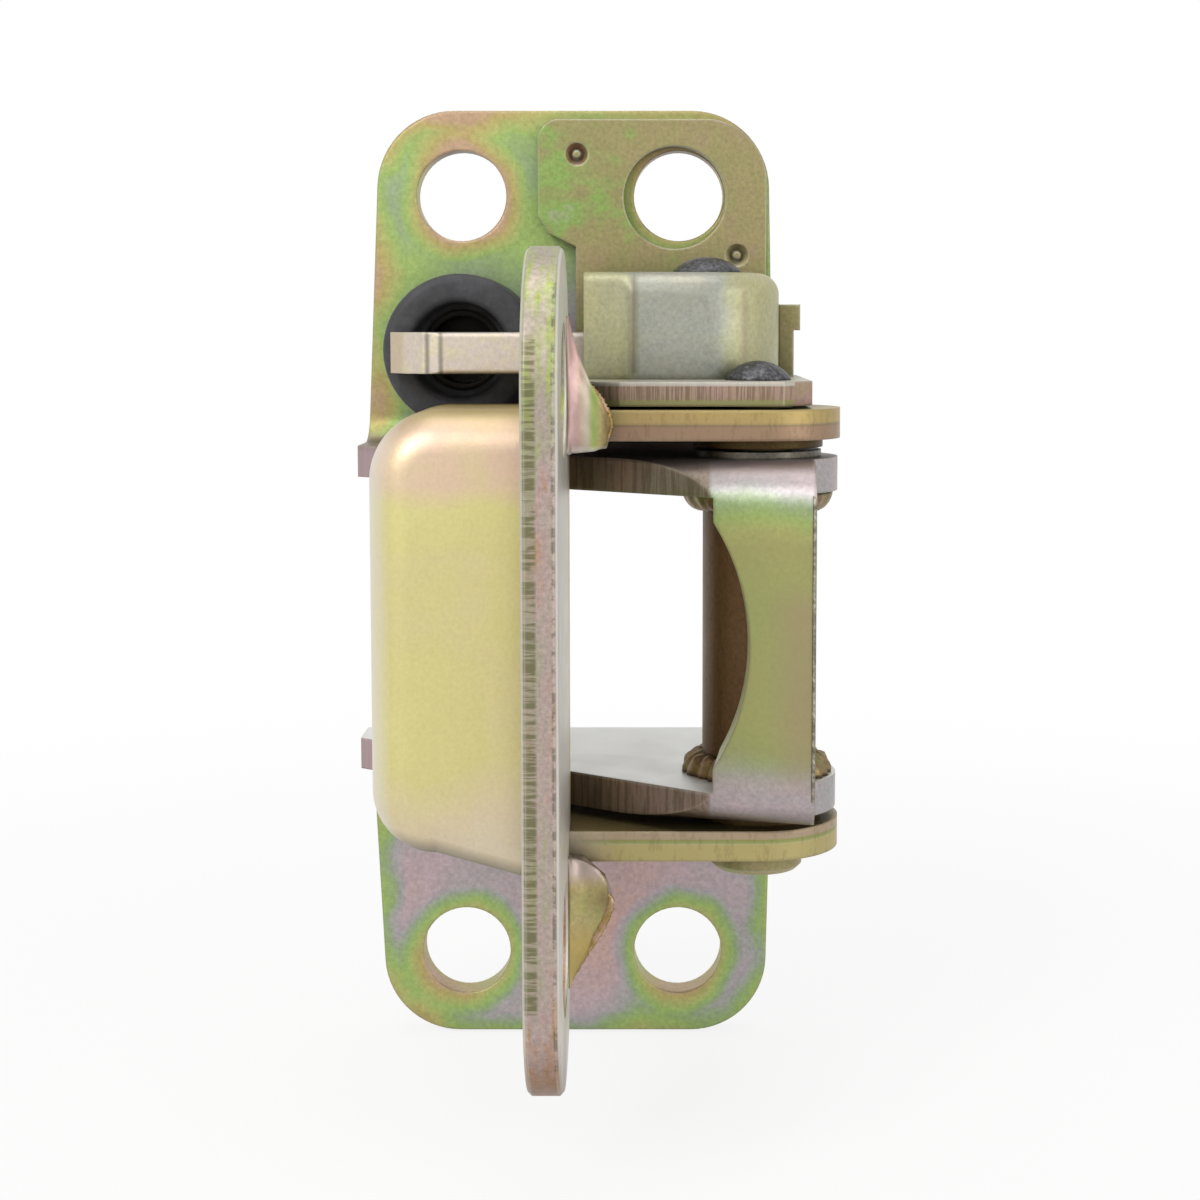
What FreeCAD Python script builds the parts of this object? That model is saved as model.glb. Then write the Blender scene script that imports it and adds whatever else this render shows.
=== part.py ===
import FreeCAD, Part
import math
import os
import Sketcher

# Vehicle door hinge with a stop lever, in millimetres.
# The origin is the centre of the four pillar bolts, on the back of the pillar bracket.
# X runs across the pillar, -Y runs out from it towards the viewer, and Z is up.
# A size that ends in "Out" is measured from the back of the bracket along -Y.

doc = FreeCAD.newDocument("DoorHinge")
sheet = doc.addObject("Spreadsheet::Sheet", "Sizes")
sizeNames = []


def addSizes(named):
    """Put driving sizes in the sheet, each in a cell with its own name."""
    for name, value in named.items():
        sizeNames.append(name)
        row = len(sizeNames)
        sheet.set("A%d" % row, name)
        sheet.set("B%d" % row, str(value))
        sheet.setAlias("B%d" % row, name)
    doc.recompute()


class Dim:
    """A length that carries its value and the cell expression that gives it."""

    def __init__(self, value, text):
        self.value = float(value)
        self.text = text

    def join(self, other, sign, value):
        return Dim(value, "(%s %s %s)" % (self.text, sign, other.text))

    def __add__(self, other):
        other = asDim(other)
        return self.join(other, "+", self.value + other.value)

    def __sub__(self, other):
        other = asDim(other)
        return self.join(other, "-", self.value - other.value)

    def __mul__(self, other):
        other = asDim(other)
        return self.join(other, "*", self.value * other.value)

    def __truediv__(self, other):
        other = asDim(other)
        return self.join(other, "/", self.value / other.value)

    def __neg__(self):
        return Dim(-self.value, "(0 - %s)" % self.text)

    def __rsub__(self, other):
        return asDim(other) - self


def asDim(item):
    return item if isinstance(item, Dim) else Dim(item, repr(float(item)))


def size(name):
    return Dim(sheet.get(name), "Sizes." + name)


def cosine(angle):
    return Dim(math.cos(math.radians(angle.value)), "cos(%s * 1deg)" % angle.text)


def sine(angle):
    return Dim(math.sin(math.radians(angle.value)), "sin(%s * 1deg)" % angle.text)


def newBody(name):
    body = doc.addObject("PartDesign::Body", name)
    body.Label = name
    return body


def newSketch(body, name, role, shift):
    """Attach a sketch to one of the body's origin planes, moved by bound lengths."""
    sketch = body.newObject("Sketcher::SketchObject", body.Name + name)
    plane = next(item for item in body.Origin.OriginFeatures if item.Role == role)
    sketch.AttachmentSupport = (plane, [""])
    sketch.MapMode = "FlatFace"
    start = [asDim(item) for item in shift]
    base = FreeCAD.Vector(*[item.value for item in start])
    sketch.AttachmentOffset = FreeCAD.Placement(base, FreeCAD.Rotation())
    for letter, item in zip("xyz", start):
        sketch.setExpression("AttachmentOffset.Base." + letter, item.text)
    return sketch


def bindPoint(sketch, geometry, end, across, up):
    for kind, item in (("DistanceX", across), ("DistanceY", up)):
        index = sketch.addConstraint(Sketcher.Constraint(kind, -1, 1, geometry, end, item.value))
        sketch.setExpression("Constraints[%d]" % index, item.text)


def bindRadius(sketch, geometry, radius):
    index = sketch.addConstraint(Sketcher.Constraint("Radius", geometry, radius.value))
    sketch.setExpression("Constraints[%d]" % index, radius.text)


def arcBetween(start, finish, radius, side):
    """Arc of a radius from start to finish; side +1 bulges to the right of the way there."""
    chord = finish - start
    half = chord.Length / 2
    away = FreeCAD.Vector(chord.y, -chord.x, 0).normalize() * side
    centre = (start + finish) / 2 - away * math.sqrt(max(radius ** 2 - half ** 2, 0))
    first, last = (start, finish) if side > 0 else (finish, start)
    angles = [math.atan2(point.y - centre.y, point.x - centre.x) for point in (first, last)]
    return Part.ArcOfCircle(Part.Circle(centre, FreeCAD.Vector(0, 0, 1), radius), *angles)


def drawLoop(sketch, corners):
    """Closed loop through bound corners; a corner with a third item starts an arc."""
    points = [(asDim(corner[0]), asDim(corner[1])) for corner in corners]
    first = sketch.GeometryCount
    ends = []
    for place, corner in enumerate(corners):
        following = points[(place + 1) % len(points)]
        start = FreeCAD.Vector(points[place][0].value, points[place][1].value, 0)
        finish = FreeCAD.Vector(following[0].value, following[1].value, 0)
        if len(corner) == 2:
            sketch.addGeometry(Part.LineSegment(start, finish))
            ends.append((1, 2))
            continue
        radius, side = corner[2]
        sketch.addGeometry(arcBetween(start, finish, radius.value, side))
        ends.append((1, 2) if side > 0 else (2, 1))
    for place in range(len(points)):
        after = (place + 1) % len(points)
        sketch.addConstraint(Sketcher.Constraint(
            "Coincident", first + place, ends[place][1], first + after, ends[after][0]))
    for place, (across, up) in enumerate(points):
        bindPoint(sketch, first + place, ends[place][0], across, up)
    for place, corner in enumerate(corners):
        if len(corner) > 2:
            bindRadius(sketch, first + place, corner[2][0])


def drawCircle(sketch, across, up, diameter):
    across = asDim(across)
    up = asDim(up)
    centre = FreeCAD.Vector(across.value, up.value, 0)
    circle = Part.Circle(centre, FreeCAD.Vector(0, 0, 1), diameter.value / 2)
    index = sketch.addGeometry(circle)
    bindPoint(sketch, index, 3, across, up)
    bindRadius(sketch, index, diameter / 2)


def slab(body, name, role, level, length, loops=(), circles=(), cut=False):
    """Pad or Pocket from a level along the plane's own direction, by a bound length."""
    sketch = newSketch(body, name, role, (0, 0, level))
    for corners in loops:
        drawLoop(sketch, corners)
    for circle in circles:
        drawCircle(sketch, *circle)
    before = body.Shape.Volume if cut else 0
    kind = "PartDesign::Pocket" if cut else "PartDesign::Pad"
    feature = body.newObject(kind, body.Name + name + "Solid")
    feature.Profile = sketch
    feature.Reversed = cut
    feature.Length = asDim(length).value
    feature.setExpression("Length", asDim(length).text)
    sketch.Visibility = False
    doc.recompute()
    if cut and not body.Shape.Volume < before - 0.01:
        raise RuntimeError("cut took nothing away: " + body.Name + name)
    return feature


def turned(body, name, role, centre, corners, cut=False):
    """Revolution or Groove of a half section about the sketch's upright axis."""
    sketch = newSketch(body, name, role, centre)
    drawLoop(sketch, corners)
    before = body.Shape.Volume if cut else 0
    kind = "PartDesign::Groove" if cut else "PartDesign::Revolution"
    feature = body.newObject(kind, body.Name + name + "Solid")
    feature.Profile = sketch
    feature.ReferenceAxis = (sketch, ["V_Axis"])
    feature.Angle = 360
    sketch.Visibility = False
    doc.recompute()
    if cut and not body.Shape.Volume < before - 0.01:
        raise RuntimeError("cut took nothing away: " + body.Name + name)
    return feature


def roundEdges(body, name, radius, test, kind="PartDesign::Fillet", width="Radius"):
    """Fillet those edges of the body whose midpoint passes the test."""
    tip = body.Tip
    names = []
    for number, edge in enumerate(tip.Shape.Edges, start=1):
        middle = edge.valueAt((edge.FirstParameter + edge.LastParameter) / 2)
        if test(edge, middle):
            names.append("Edge%d" % number)
    if not names:
        raise RuntimeError("no edges to round: " + body.Name + name)
    feature = body.newObject(kind, body.Name + name)
    feature.Base = (tip, names)
    radius = asDim(radius)
    setattr(feature, width, radius.value)
    feature.setExpression(width, radius.text)
    doc.recompute()
    return feature


def bevelEdges(body, name, width, test):
    """Chamfer those edges of the body whose midpoint passes the test."""
    feature = roundEdges(body, name, width, test, "PartDesign::Chamfer", "Size")
    return feature


def runsAlong(edge, axis):
    """True for a straight edge parallel to the axis."""
    if len(edge.Vertexes) < 2:
        return False
    way = edge.Vertexes[1].Point - edge.Vertexes[0].Point
    if way.Length < 1e-6 or abs(way.Length - edge.Length) > 1e-4:
        return False
    return abs(abs(way.normalize() * FreeCAD.Vector(*axis)) - 1) < 1e-4


def at(value, target):
    return abs(value - asDim(target).value) < 0.02


alongX = (1, 0, 0)
alongY = (0, 1, 0)
alongZ = (0, 0, 1)

# Sizes that several pieces share
sharedSizes = {
    "bracketGauge": 4.5, "earGap": 38.3, "earMid": -2.9, "pinAcross": 26.3, "pinOut": 36.5,
    "pinDiameter": 9.0, "barrelDiameter": 14.7, "runningGap": 0.05, "seatGap": 0.1, "strapGauge": 4.0,
    "upperSlip": 2.5, "lowerSlip": 1.35, "strapRadius": 11.0, "checkGauge": 3.2, "flangeSlip": 0.4,
    "rivetAcross": 19.8, "rivetOut": 23.5, "rivetDiameter": 6.0}
addSizes(sharedSizes)

gauge = size("bracketGauge")
upperEarLow = size("earMid") + size("earGap") / 2
upperEarTop = upperEarLow + gauge
lowerEarTop = size("earMid") - size("earGap") / 2
lowerEarLow = lowerEarTop - gauge
pinAcross = size("pinAcross")
pinOut = size("pinOut")
pinCentre = (pinAcross, 0, pinOut)
pinBore = size("pinDiameter") + size("runningGap") * 2
strapGauge = size("strapGauge")
upperStrapLow = upperEarTop + size("upperSlip")
upperStrapTop = upperStrapLow + strapGauge
lowerStrapTop = lowerEarLow - size("lowerSlip")
lowerStrapLow = lowerStrapTop - strapGauge
strapFront = pinOut + size("strapRadius")
strapRear = pinOut - size("strapRadius")
flangeLow = upperStrapTop + size("flangeSlip")
flangeTop = flangeLow + size("checkGauge")
rivetCentre = (size("rivetAcross"), 0, size("rivetOut"))

# Pillar bracket: one stamping folded from plate
bracketSizes = {
    "plateHeight": 139.4, "lobeWidth": 57.4, "lobeShift": 0.6, "rootSpread": 3.4,
    "lobeCornerRadius": 11.5, "boltSideMargin": 12.6, "boltEndMargin": 12.5, "boltHoleDiameter": 13.3,
    "bendRadius": 4.0, "earLeftOut": 15.5, "earEndRadius": 10.7, "earEndSpread": 50.0,
    "earNeckOut": 21.0, "postLeft": 19.9, "postOut": 51.1, "postWidth": 13.4, "postTurn": 14.6,
    "postBendRadius": 5.5, "reliefChord": 32.0, "reliefRadius": 30.0, "bumperAcross": -15.2,
    "bumperUp": 34.55, "spigotDiameter": 8.0}
addSizes(bracketSizes)

body = newBody("pillar_bracket")
half = size("plateHeight") / 2
rootHalf = (size("lobeWidth") + size("rootSpread")) / 2
lobeLeft = size("lobeShift") - size("lobeWidth") / 2
lobeRight = size("lobeShift") + size("lobeWidth") / 2
earHeight = size("earGap") + gauge * 2
turnCos = cosine(size("postTurn"))
turnSin = sine(size("postTurn"))
postLeft = size("postLeft")
postOut = size("postOut")
postRight = postLeft + size("postWidth") * turnCos
postRightOut = postOut + size("postWidth") * turnSin
endAcross = pinAcross + size("earEndRadius") * cosine(size("earEndSpread"))
endSpan = size("earEndRadius") * sine(size("earEndSpread"))
reach = asDim(45)

# Both ears and the post start as one block with the plan outline of the ears
slab(body, "EarPlan", "XY_Plane", lowerEarLow, earHeight, loops=[[
    (-rootHalf, 0), (-rootHalf, -size("earLeftOut")), (postLeft, -postOut),
    (postRight, -postRightOut), (endAcross, -(pinOut + endSpan), (size("earEndRadius"), 1)),
    (endAcross, -(pinOut - endSpan)), (rootHalf, -size("earNeckOut")), (rootHalf, 0)]])

# The post is folded from the ears, so its outside bends are round
postWay = (turnCos.value, -turnSin.value, 0)
roundEdges(body, "PostBends", size("postBendRadius"), lambda edge, middle:
           runsAlong(edge, postWay) and middle.y < -postOut.value + 0.5
           and (at(middle.z, upperEarTop) or at(middle.z, lowerEarLow)))

# The window between the ears leaves only the post standing on their front line
postBack = (postLeft + gauge * turnSin, -(postOut - gauge * turnCos))
clear = asDim(6)
slab(body, "Window", "XY_Plane", lowerEarTop, size("earGap"), cut=True, loops=[[
    (-reach, 5), (-reach, -(postOut + clear * turnCos)),
    (postLeft - clear * turnSin, -(postOut + clear * turnCos)), postBack,
    (postBack[0] + reach * turnCos, postBack[1] - reach * turnSin),
    (postBack[0] + reach * turnCos, 5)]])

# Bolting lobes widen a little towards the ears
slab(body, "UpperLobe", "XZ_Plane", 0, gauge, loops=[[
    (-rootHalf, upperEarLow), (rootHalf, upperEarLow), (lobeRight, half), (lobeLeft, half)]])
slab(body, "LowerLobe", "XZ_Plane", 0, gauge, loops=[[
    (-rootHalf, lowerEarTop), (lobeLeft, -half), (lobeRight, -half), (rootHalf, lowerEarTop)]])
roundEdges(body, "LobeCorners", size("lobeCornerRadius"), lambda edge, middle:
           runsAlong(edge, alongY) and at(abs(middle.z), half))
roundEdges(body, "OutsideBends", size("bendRadius") + gauge, lambda edge, middle:
           runsAlong(edge, alongX) and at(middle.y, 0)
           and (at(middle.z, upperEarLow) or at(middle.z, lowerEarTop)))
roundEdges(body, "InsideBends", size("bendRadius"), lambda edge, middle:
           runsAlong(edge, alongX) and at(middle.y, -gauge)
           and (at(middle.z, upperEarTop) or at(middle.z, lowerEarLow)))

# The left edge of the post is hollowed
reliefTop = size("earMid") + size("reliefChord") / 2
reliefLow = size("earMid") - size("reliefChord") / 2
slab(body, "PostRelief", "XZ_Plane", postOut - 8, 14, cut=True, loops=[[
    (postLeft - 3, reliefTop), (postLeft - 3, reliefLow),
    (postLeft, reliefLow, (size("reliefRadius"), 1)), (postLeft, reliefTop)]])

# Bolt holes, the seat of the bumper and the bore of the pin
boltX = size("lobeWidth") / 2 - size("boltSideMargin")
boltZ = half - size("boltEndMargin")
boltHole = size("boltHoleDiameter")
slab(body, "BoltHoles", "XZ_Plane", -1, gauge + 2, cut=True, circles=[
    (boltX, boltZ, boltHole), (-boltX, boltZ, boltHole),
    (boltX, -boltZ, boltHole), (-boltX, -boltZ, boltHole),
    (size("bumperAcross"), size("bumperUp"), size("spigotDiameter") + size("seatGap"))])
slab(body, "PinBore", "XY_Plane", lowerEarLow - 1, earHeight + 2, cut=True, circles=[
    (pinAcross, -pinOut, pinBore)])

# Barrel and its welds to the two ears
weldSizes = {
    "weldLeg": 3.1}
addSizes(weldSizes)
barrelRadius = size("barrelDiameter") / 2
body = newBody("pin_barrel")
turned(body, "Tube", "XZ_Plane", pinCentre, [
    (pinBore / 2, lowerEarTop), (barrelRadius, lowerEarTop),
    (barrelRadius, upperEarLow), (pinBore / 2, upperEarLow)])
for name, root, way in (("upper_barrel_weld", upperEarLow, -1), ("lower_barrel_weld", lowerEarTop, 1)):
    body = newBody(name)
    foot = root + size("weldLeg") * way
    turned(body, "Bead", "XZ_Plane", pinCentre, [
        (barrelRadius, root), (barrelRadius + size("weldLeg"), root), (barrelRadius, foot)])


def domeCorners(radius, foot, rise):
    """Half section of a low riveted dome, as flats from the rim to the crown."""
    return [(radius, foot), (radius, foot + rise * 0.2), (radius * 0.82, foot + rise * 0.55),
            (radius * 0.5, foot + rise * 0.88), (radius * 0.2, foot + rise), (0, foot + rise)]


# Pin: flat head at the foot, tenon at the top that is riveted over the flange
pinSizes = {
    "pinHeadDiameter": 12.4, "pinHeadThick": 3.0, "pinHeadSlip": 0.3, "tenonDiameter": 5.6,
    "pinDomeDiameter": 8.4, "pinDomeRise": 2.3}
addSizes(pinSizes)
body = newBody("hinge_pin")
headTop = lowerStrapLow - size("pinHeadSlip")
headLow = headTop - size("pinHeadThick")
pinRadius = size("pinDiameter") / 2
tenonRadius = size("tenonDiameter") / 2
headRadius = size("pinHeadDiameter") / 2
domeRadius = size("pinDomeDiameter") / 2
turned(body, "Profile", "XZ_Plane", pinCentre, [
    (0, headLow), (headRadius - 0.6, headLow), (headRadius, headLow + 0.6), (headRadius, headTop),
    (pinRadius, headTop), (pinRadius, flangeLow), (tenonRadius, flangeLow),
    (tenonRadius, flangeTop)] + domeCorners(domeRadius, flangeTop, size("pinDomeRise")))

# Thrust washer on the upper ear
washerSizes = {
    "washerDiameter": 17.0, "washerThick": 0.9}
addSizes(washerSizes)
body = newBody("upper_thrust_washer")
turned(body, "Ring", "XZ_Plane", pinCentre, [
    (pinBore / 2 + size("seatGap"), upperEarTop), (size("washerDiameter") / 2, upperEarTop),
    (size("washerDiameter") / 2, upperEarTop + size("washerThick")),
    (pinBore / 2 + size("seatGap"), upperEarTop + size("washerThick"))])

# Flanged bushes in the two moving ears
bushSizes = {
    "bushDiameter": 11.6, "bushFlangeDiameter": 17.4, "upperFlangeThick": 1.2, "lowerFlangeThick": 1.0}
addSizes(bushSizes)
bushRadius = size("bushDiameter") / 2
collarRadius = size("bushFlangeDiameter") / 2
body = newBody("upper_ear_bush")
turned(body, "Profile", "XZ_Plane", pinCentre, [
    (pinBore / 2, upperStrapLow - size("upperFlangeThick")),
    (collarRadius, upperStrapLow - size("upperFlangeThick")),
    (collarRadius, upperStrapLow), (bushRadius, upperStrapLow),
    (bushRadius, upperStrapTop), (pinBore / 2, upperStrapTop)])
body = newBody("lower_ear_bush")
turned(body, "Profile", "XZ_Plane", pinCentre, [
    (pinBore / 2, lowerStrapLow), (bushRadius, lowerStrapLow), (bushRadius, lowerStrapTop),
    (collarRadius, lowerStrapTop), (collarRadius, lowerStrapTop + size("lowerFlangeThick")),
    (pinBore / 2, lowerStrapTop + size("lowerFlangeThick"))])

# Door strap: a drawn dome on the left that passes the plate and runs on as two ears to the pin
strapSizes = {
    "doorGauge": 4.4, "doorFaceLeft": 3.1, "domeLeft": 25.1, "domeCornerRadius": 9.5,
    "domeFrontRadius": 5.5, "domeFloorCorner": 8.6, "domeFloorDrop": 3.15, "domeRampEnd": 5.5}
addSizes(strapSizes)
body = newBody("door_strap")
strapDepth = strapFront - strapRear
domeLeft = size("domeLeft")
domeCorner = size("domeCornerRadius")
floorCorner = size("domeFloorCorner")
doorLeft = size("doorFaceLeft")
doorRight = size("doorGauge") - doorLeft
rampLow = lowerStrapLow - size("domeFloorDrop")
slab(body, "DomeOutside", "XZ_Plane", strapRear, strapDepth, loops=[[
    (doorRight, upperStrapTop), (-(domeLeft - domeCorner), upperStrapTop, (domeCorner, 1)),
    (-domeLeft, upperStrapTop - domeCorner),
    (-domeLeft, lowerStrapLow + floorCorner, (floorCorner, 1)),
    (-(domeLeft - floorCorner), lowerStrapLow), (-size("domeRampEnd"), rampLow),
    (doorRight, rampLow)]])
roundEdges(body, "DomeFront", size("domeFrontRadius"), lambda edge, middle:
           at(middle.y, -strapFront) and middle.x < doorRight.value - 0.5)
innerTop = domeCorner - strapGauge
innerFloor = floorCorner - strapGauge
wallLeft = domeLeft - strapGauge
slab(body, "DomeInside", "XZ_Plane", strapRear - 1, strapDepth - strapGauge + 1, cut=True, loops=[[
    (doorRight + 1, upperStrapLow), (-(wallLeft - innerTop), upperStrapLow, (innerTop, 1)),
    (-wallLeft, upperStrapLow - innerTop), (-wallLeft, lowerStrapTop + innerFloor, (innerFloor, 1)),
    (-(wallLeft - innerFloor), lowerStrapTop), (doorRight + 1, lowerStrapTop)]])
for name, low in (("UpperEar", upperStrapLow), ("LowerEar", lowerStrapLow)):
    slab(body, name, "XY_Plane", low, strapGauge, loops=[[
        (doorRight - 0.5, -strapRear), (doorRight - 0.5, -strapFront),
        (pinAcross, -strapFront, (size("strapRadius"), 1)),
        (pinAcross + size("strapRadius"), -pinOut, (size("strapRadius"), 1)),
        (pinAcross, -strapRear)]])
slab(body, "BushBores", "XY_Plane", rampLow - 1, upperStrapTop - rampLow + 2, cut=True, circles=[
    (pinAcross, -pinOut, size("bushDiameter"))])

# Door plate: a long rounded plate with two holes, notched at the back for the strap
plateSizes = {
    "doorHoleUp": 70.0, "doorHoleMid": -4.7, "doorHoleOut": 60.5, "doorHoleDiameter": 16.5,
    "doorEndRadius": 17.5, "slotGap": 0.35, "slotDepth": 4.8, "collarGauge": 2.6, "collarSweep": 30.0,
    "upperCollarTop": 39.5, "upperCollarTip": 7.2, "upperCollarTipUp": 25.75, "upperCollarFoot": 21.85,
    "lowerCollarTop": 30.85, "lowerCollarTip": 7.0, "lowerCollarTipUp": 36.3, "lowerCollarFoot": 47.0}
addSizes(plateSizes)
body = newBody("door_plate")
plateOut = size("doorHoleOut")
endRadius = size("doorEndRadius")
holeTop = size("doorHoleMid") + size("doorHoleUp") / 2
holeLow = size("doorHoleMid") - size("doorHoleUp") / 2
plateRear = plateOut - endRadius
plateFront = plateOut + endRadius
doorHole = size("doorHoleDiameter")
slab(body, "Outline", "YZ_Plane", -doorLeft, size("doorGauge"), loops=[[
    (-plateRear, holeLow), (-plateRear, holeTop, (endRadius, 1)),
    (-plateOut, holeTop + endRadius, (endRadius, 1)),
    (-plateFront, holeTop), (-plateFront, holeLow, (endRadius, 1)),
    (-plateOut, holeLow - endRadius, (endRadius, 1))]],
    circles=[(-plateOut, holeTop, doorHole), (-plateOut, holeLow, doorHole)])
bevelEdges(body, "Rim", 0.5, lambda edge, middle:
           (at(middle.x, -doorLeft) or at(middle.x, doorRight)) and not
           (edge.Curve.TypeId == "Part::GeomCircle" and at(edge.Curve.Radius, doorHole / 2)))
slotFront = plateRear + size("slotDepth")
slotLow = rampLow - size("slotGap")
slotTop = upperStrapTop + size("slotGap")
slab(body, "Slot", "YZ_Plane", -doorLeft - 1, size("doorGauge") + 2, cut=True, loops=[[
    (-(plateRear - 1), slotLow), (-(plateRear - 1), slotTop), (-slotFront, slotTop), (-slotFront, slotLow)]])

# Torn lips that stand out from the plate in front of the ears
sweep = size("collarSweep")
upperTip = size("upperCollarTip")
lowerTip = size("lowerCollarTip")
slab(body, "UpperLip", "XZ_Plane", slotFront, size("collarGauge"), loops=[[
    (doorRight - 1, size("upperCollarFoot")), (doorRight, size("upperCollarFoot")),
    (upperTip - 0.9, size("upperCollarFoot") + 0.7),
    (upperTip, size("upperCollarTipUp"), (sweep, -1)),
    (doorRight, size("upperCollarTop")), (doorRight - 1, size("upperCollarTop"))]])
slab(body, "LowerLip", "XZ_Plane", slotFront, size("collarGauge"), loops=[[
    (doorRight - 1, -size("lowerCollarTop")), (doorRight - 1, -size("lowerCollarFoot")),
    (doorRight, -size("lowerCollarFoot"), (sweep, -1)),
    (lowerTip, -size("lowerCollarTipUp")), (lowerTip - 1.0, -(size("lowerCollarTipUp") - 2.8)),
    (lowerTip - 3.8, -(size("lowerCollarTop") + 0.2)), (doorRight, -size("lowerCollarTop"))]])

# Beads that join the strap to the back edge of the plate
beadSizes = {
    "strapWeldLeg": 2.6, "strapWeldShort": 0.7}
addSizes(beadSizes)
beadLength = size("doorGauge") - size("strapWeldShort")
leg = size("strapWeldLeg")
for name, foot, way in (("upper_strap_weld", upperStrapTop, 1), ("lower_strap_weld", rampLow, -1)):
    body = newBody(name)
    slab(body, "Bead", "YZ_Plane", -doorLeft, beadLength, loops=[[
        (-plateRear, foot), (-plateRear, foot + leg * way),
        (-(plateRear - 0.9), foot + (leg - 0.5) * way),
        (-(plateRear - leg), foot + 0.8 * way), (-(plateRear - leg), foot)]])

# Check bracket: a sheet laid on the upper lobe and folded forward over the upper ears
checkSizes = {
    "checkTopMargin": 1.5, "checkRightMargin": 0.3, "checkCornerRadius": 9.0, "checkLeft": 4.6, "checkFoot": 0.95,
    "checkShoulderDrop": 14.1, "checkStepDrop": 2.6, "checkStepRun": 1.9, "checkBend": 2.5,
    "checkHoleShift": 0.6, "checkHoleDrop": 0.4, "checkHoleDiameter": 15.0, "flangeLeft": 2.9,
    "flangeRight": 33.2, "flangeOut": 45.5, "flangeNotchOut": 11.0, "flangeCornerCut": 4.0,
    "buttonDiameter": 3.4, "buttonDepth": 0.9, "upperButtonAcross": 1.1, "upperButtonDrop": 5.1,
    "lowerButtonAcross": 24.65, "lowerButtonDrop": 19.85, "lugGauge": 3.0, "lugTop": 41.05,
    "lugShelf": 37.4, "lugStep": 0.9, "lugOut": 19.0}
addSizes(checkSizes)
body = newBody("check_bracket")
checkGauge = size("checkGauge")
checkFace = gauge + checkGauge
checkRight = lobeRight - size("checkRightMargin")
checkLeft = size("checkLeft")
checkFoot = size("checkFoot")
checkTop = half - size("checkTopMargin")
shoulder = checkTop - size("checkShoulderDrop")
stepTop = shoulder - size("checkStepDrop")
flangeLeft = size("flangeLeft")
flangeRight = size("flangeRight")
flangeOut = size("flangeOut")
cornerCut = size("flangeCornerCut")
notch = size("flangeNotchOut")
slab(body, "Upright", "XZ_Plane", gauge, checkGauge, loops=[[
    (checkFoot, flangeLow), (checkRight, flangeLow), (checkRight, checkTop),
    (-checkLeft, checkTop), (-checkLeft, shoulder),
    (-(checkLeft - 1.6), stepTop), (checkFoot, stepTop - size("checkStepRun"))]])
slab(body, "Flange", "XY_Plane", flangeLow, checkGauge, loops=[[
    (checkFoot, -gauge), (checkFoot, -notch), (flangeLeft, -(notch + 2)),
    (flangeLeft, -(flangeOut - 2.6)), (flangeLeft + 1.6, -(flangeOut - 0.9)),
    (flangeLeft + 5.0, -flangeOut), (flangeRight - cornerCut, -flangeOut),
    (flangeRight, -(flangeOut - cornerCut)), (flangeRight, -notch), (checkRight, -notch),
    (checkRight, -gauge)]])
roundEdges(body, "BendOutside", size("checkBend") + checkGauge, lambda edge, middle:
           runsAlong(edge, alongX) and at(middle.y, -gauge) and at(middle.z, flangeLow))
roundEdges(body, "BendInside", size("checkBend"), lambda edge, middle:
           runsAlong(edge, alongX) and at(middle.y, -checkFace) and at(middle.z, flangeTop))
roundEdges(body, "TopRight", size("checkCornerRadius"), lambda edge, middle:
           runsAlong(edge, alongY) and at(middle.x, checkRight) and at(middle.z, checkTop))
roundEdges(body, "TopLeft", 3.0, lambda edge, middle:
           runsAlong(edge, alongY) and at(middle.x, -checkLeft) and at(middle.z, checkTop))
lugLeft = flangeRight - size("lugGauge")
slab(body, "Lug", "XZ_Plane", notch, size("lugOut") - notch, loops=[[
    (lugLeft, flangeTop - 0.5), (flangeRight - size("lugStep"), flangeTop - 0.5),
    (flangeRight - size("lugStep"), size("lugShelf")), (flangeRight, size("lugShelf")),
    (flangeRight, size("lugTop")), (lugLeft, size("lugTop"))]])
slab(body, "BoltClearance", "XZ_Plane", gauge - 1, checkGauge + 2, cut=True, circles=[
    (boltX - size("checkHoleShift"), boltZ - size("checkHoleDrop"), size("checkHoleDiameter"))])
slab(body, "RivetHoles", "XY_Plane", flangeLow - 1, checkGauge + 2, cut=True, circles=[
    (pinAcross, -pinOut, size("tenonDiameter") + size("seatGap")),
    (size("rivetAcross"), -size("rivetOut"), size("rivetDiameter") + size("seatGap"))])
for name, across, drop in (("UpperButton", "upperButtonAcross", "upperButtonDrop"),
                           ("LowerButton", "lowerButtonAcross", "lowerButtonDrop")):
    turned(body, name, "XY_Plane", (size(across), -checkFace, checkTop - size(drop)), cut=True, corners=[
        (0.55, -0.3), (size("buttonDiameter") / 2, -0.3), (size("buttonDiameter") / 2, 0.02),
        (0.55, size("buttonDepth"))])

# Countersink under the flange for the foot of the lever rivet
sinkSizes = {
    "sinkDiameter": 9.0, "sinkDepth": 1.5}
addSizes(sinkSizes)
sinkRadius = size("sinkDiameter") / 2
rivetRadius = size("rivetDiameter") / 2
looseSeat = size("seatGap") / 2
turned(body, "Countersink", "XZ_Plane", rivetCentre, cut=True, corners=[
    (0, flangeLow - 0.2), (sinkRadius + looseSeat, flangeLow - 0.2), (sinkRadius + looseSeat, flangeLow),
    (rivetRadius + looseSeat, flangeLow + size("sinkDepth")), (0, flangeLow + size("sinkDepth"))])

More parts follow.
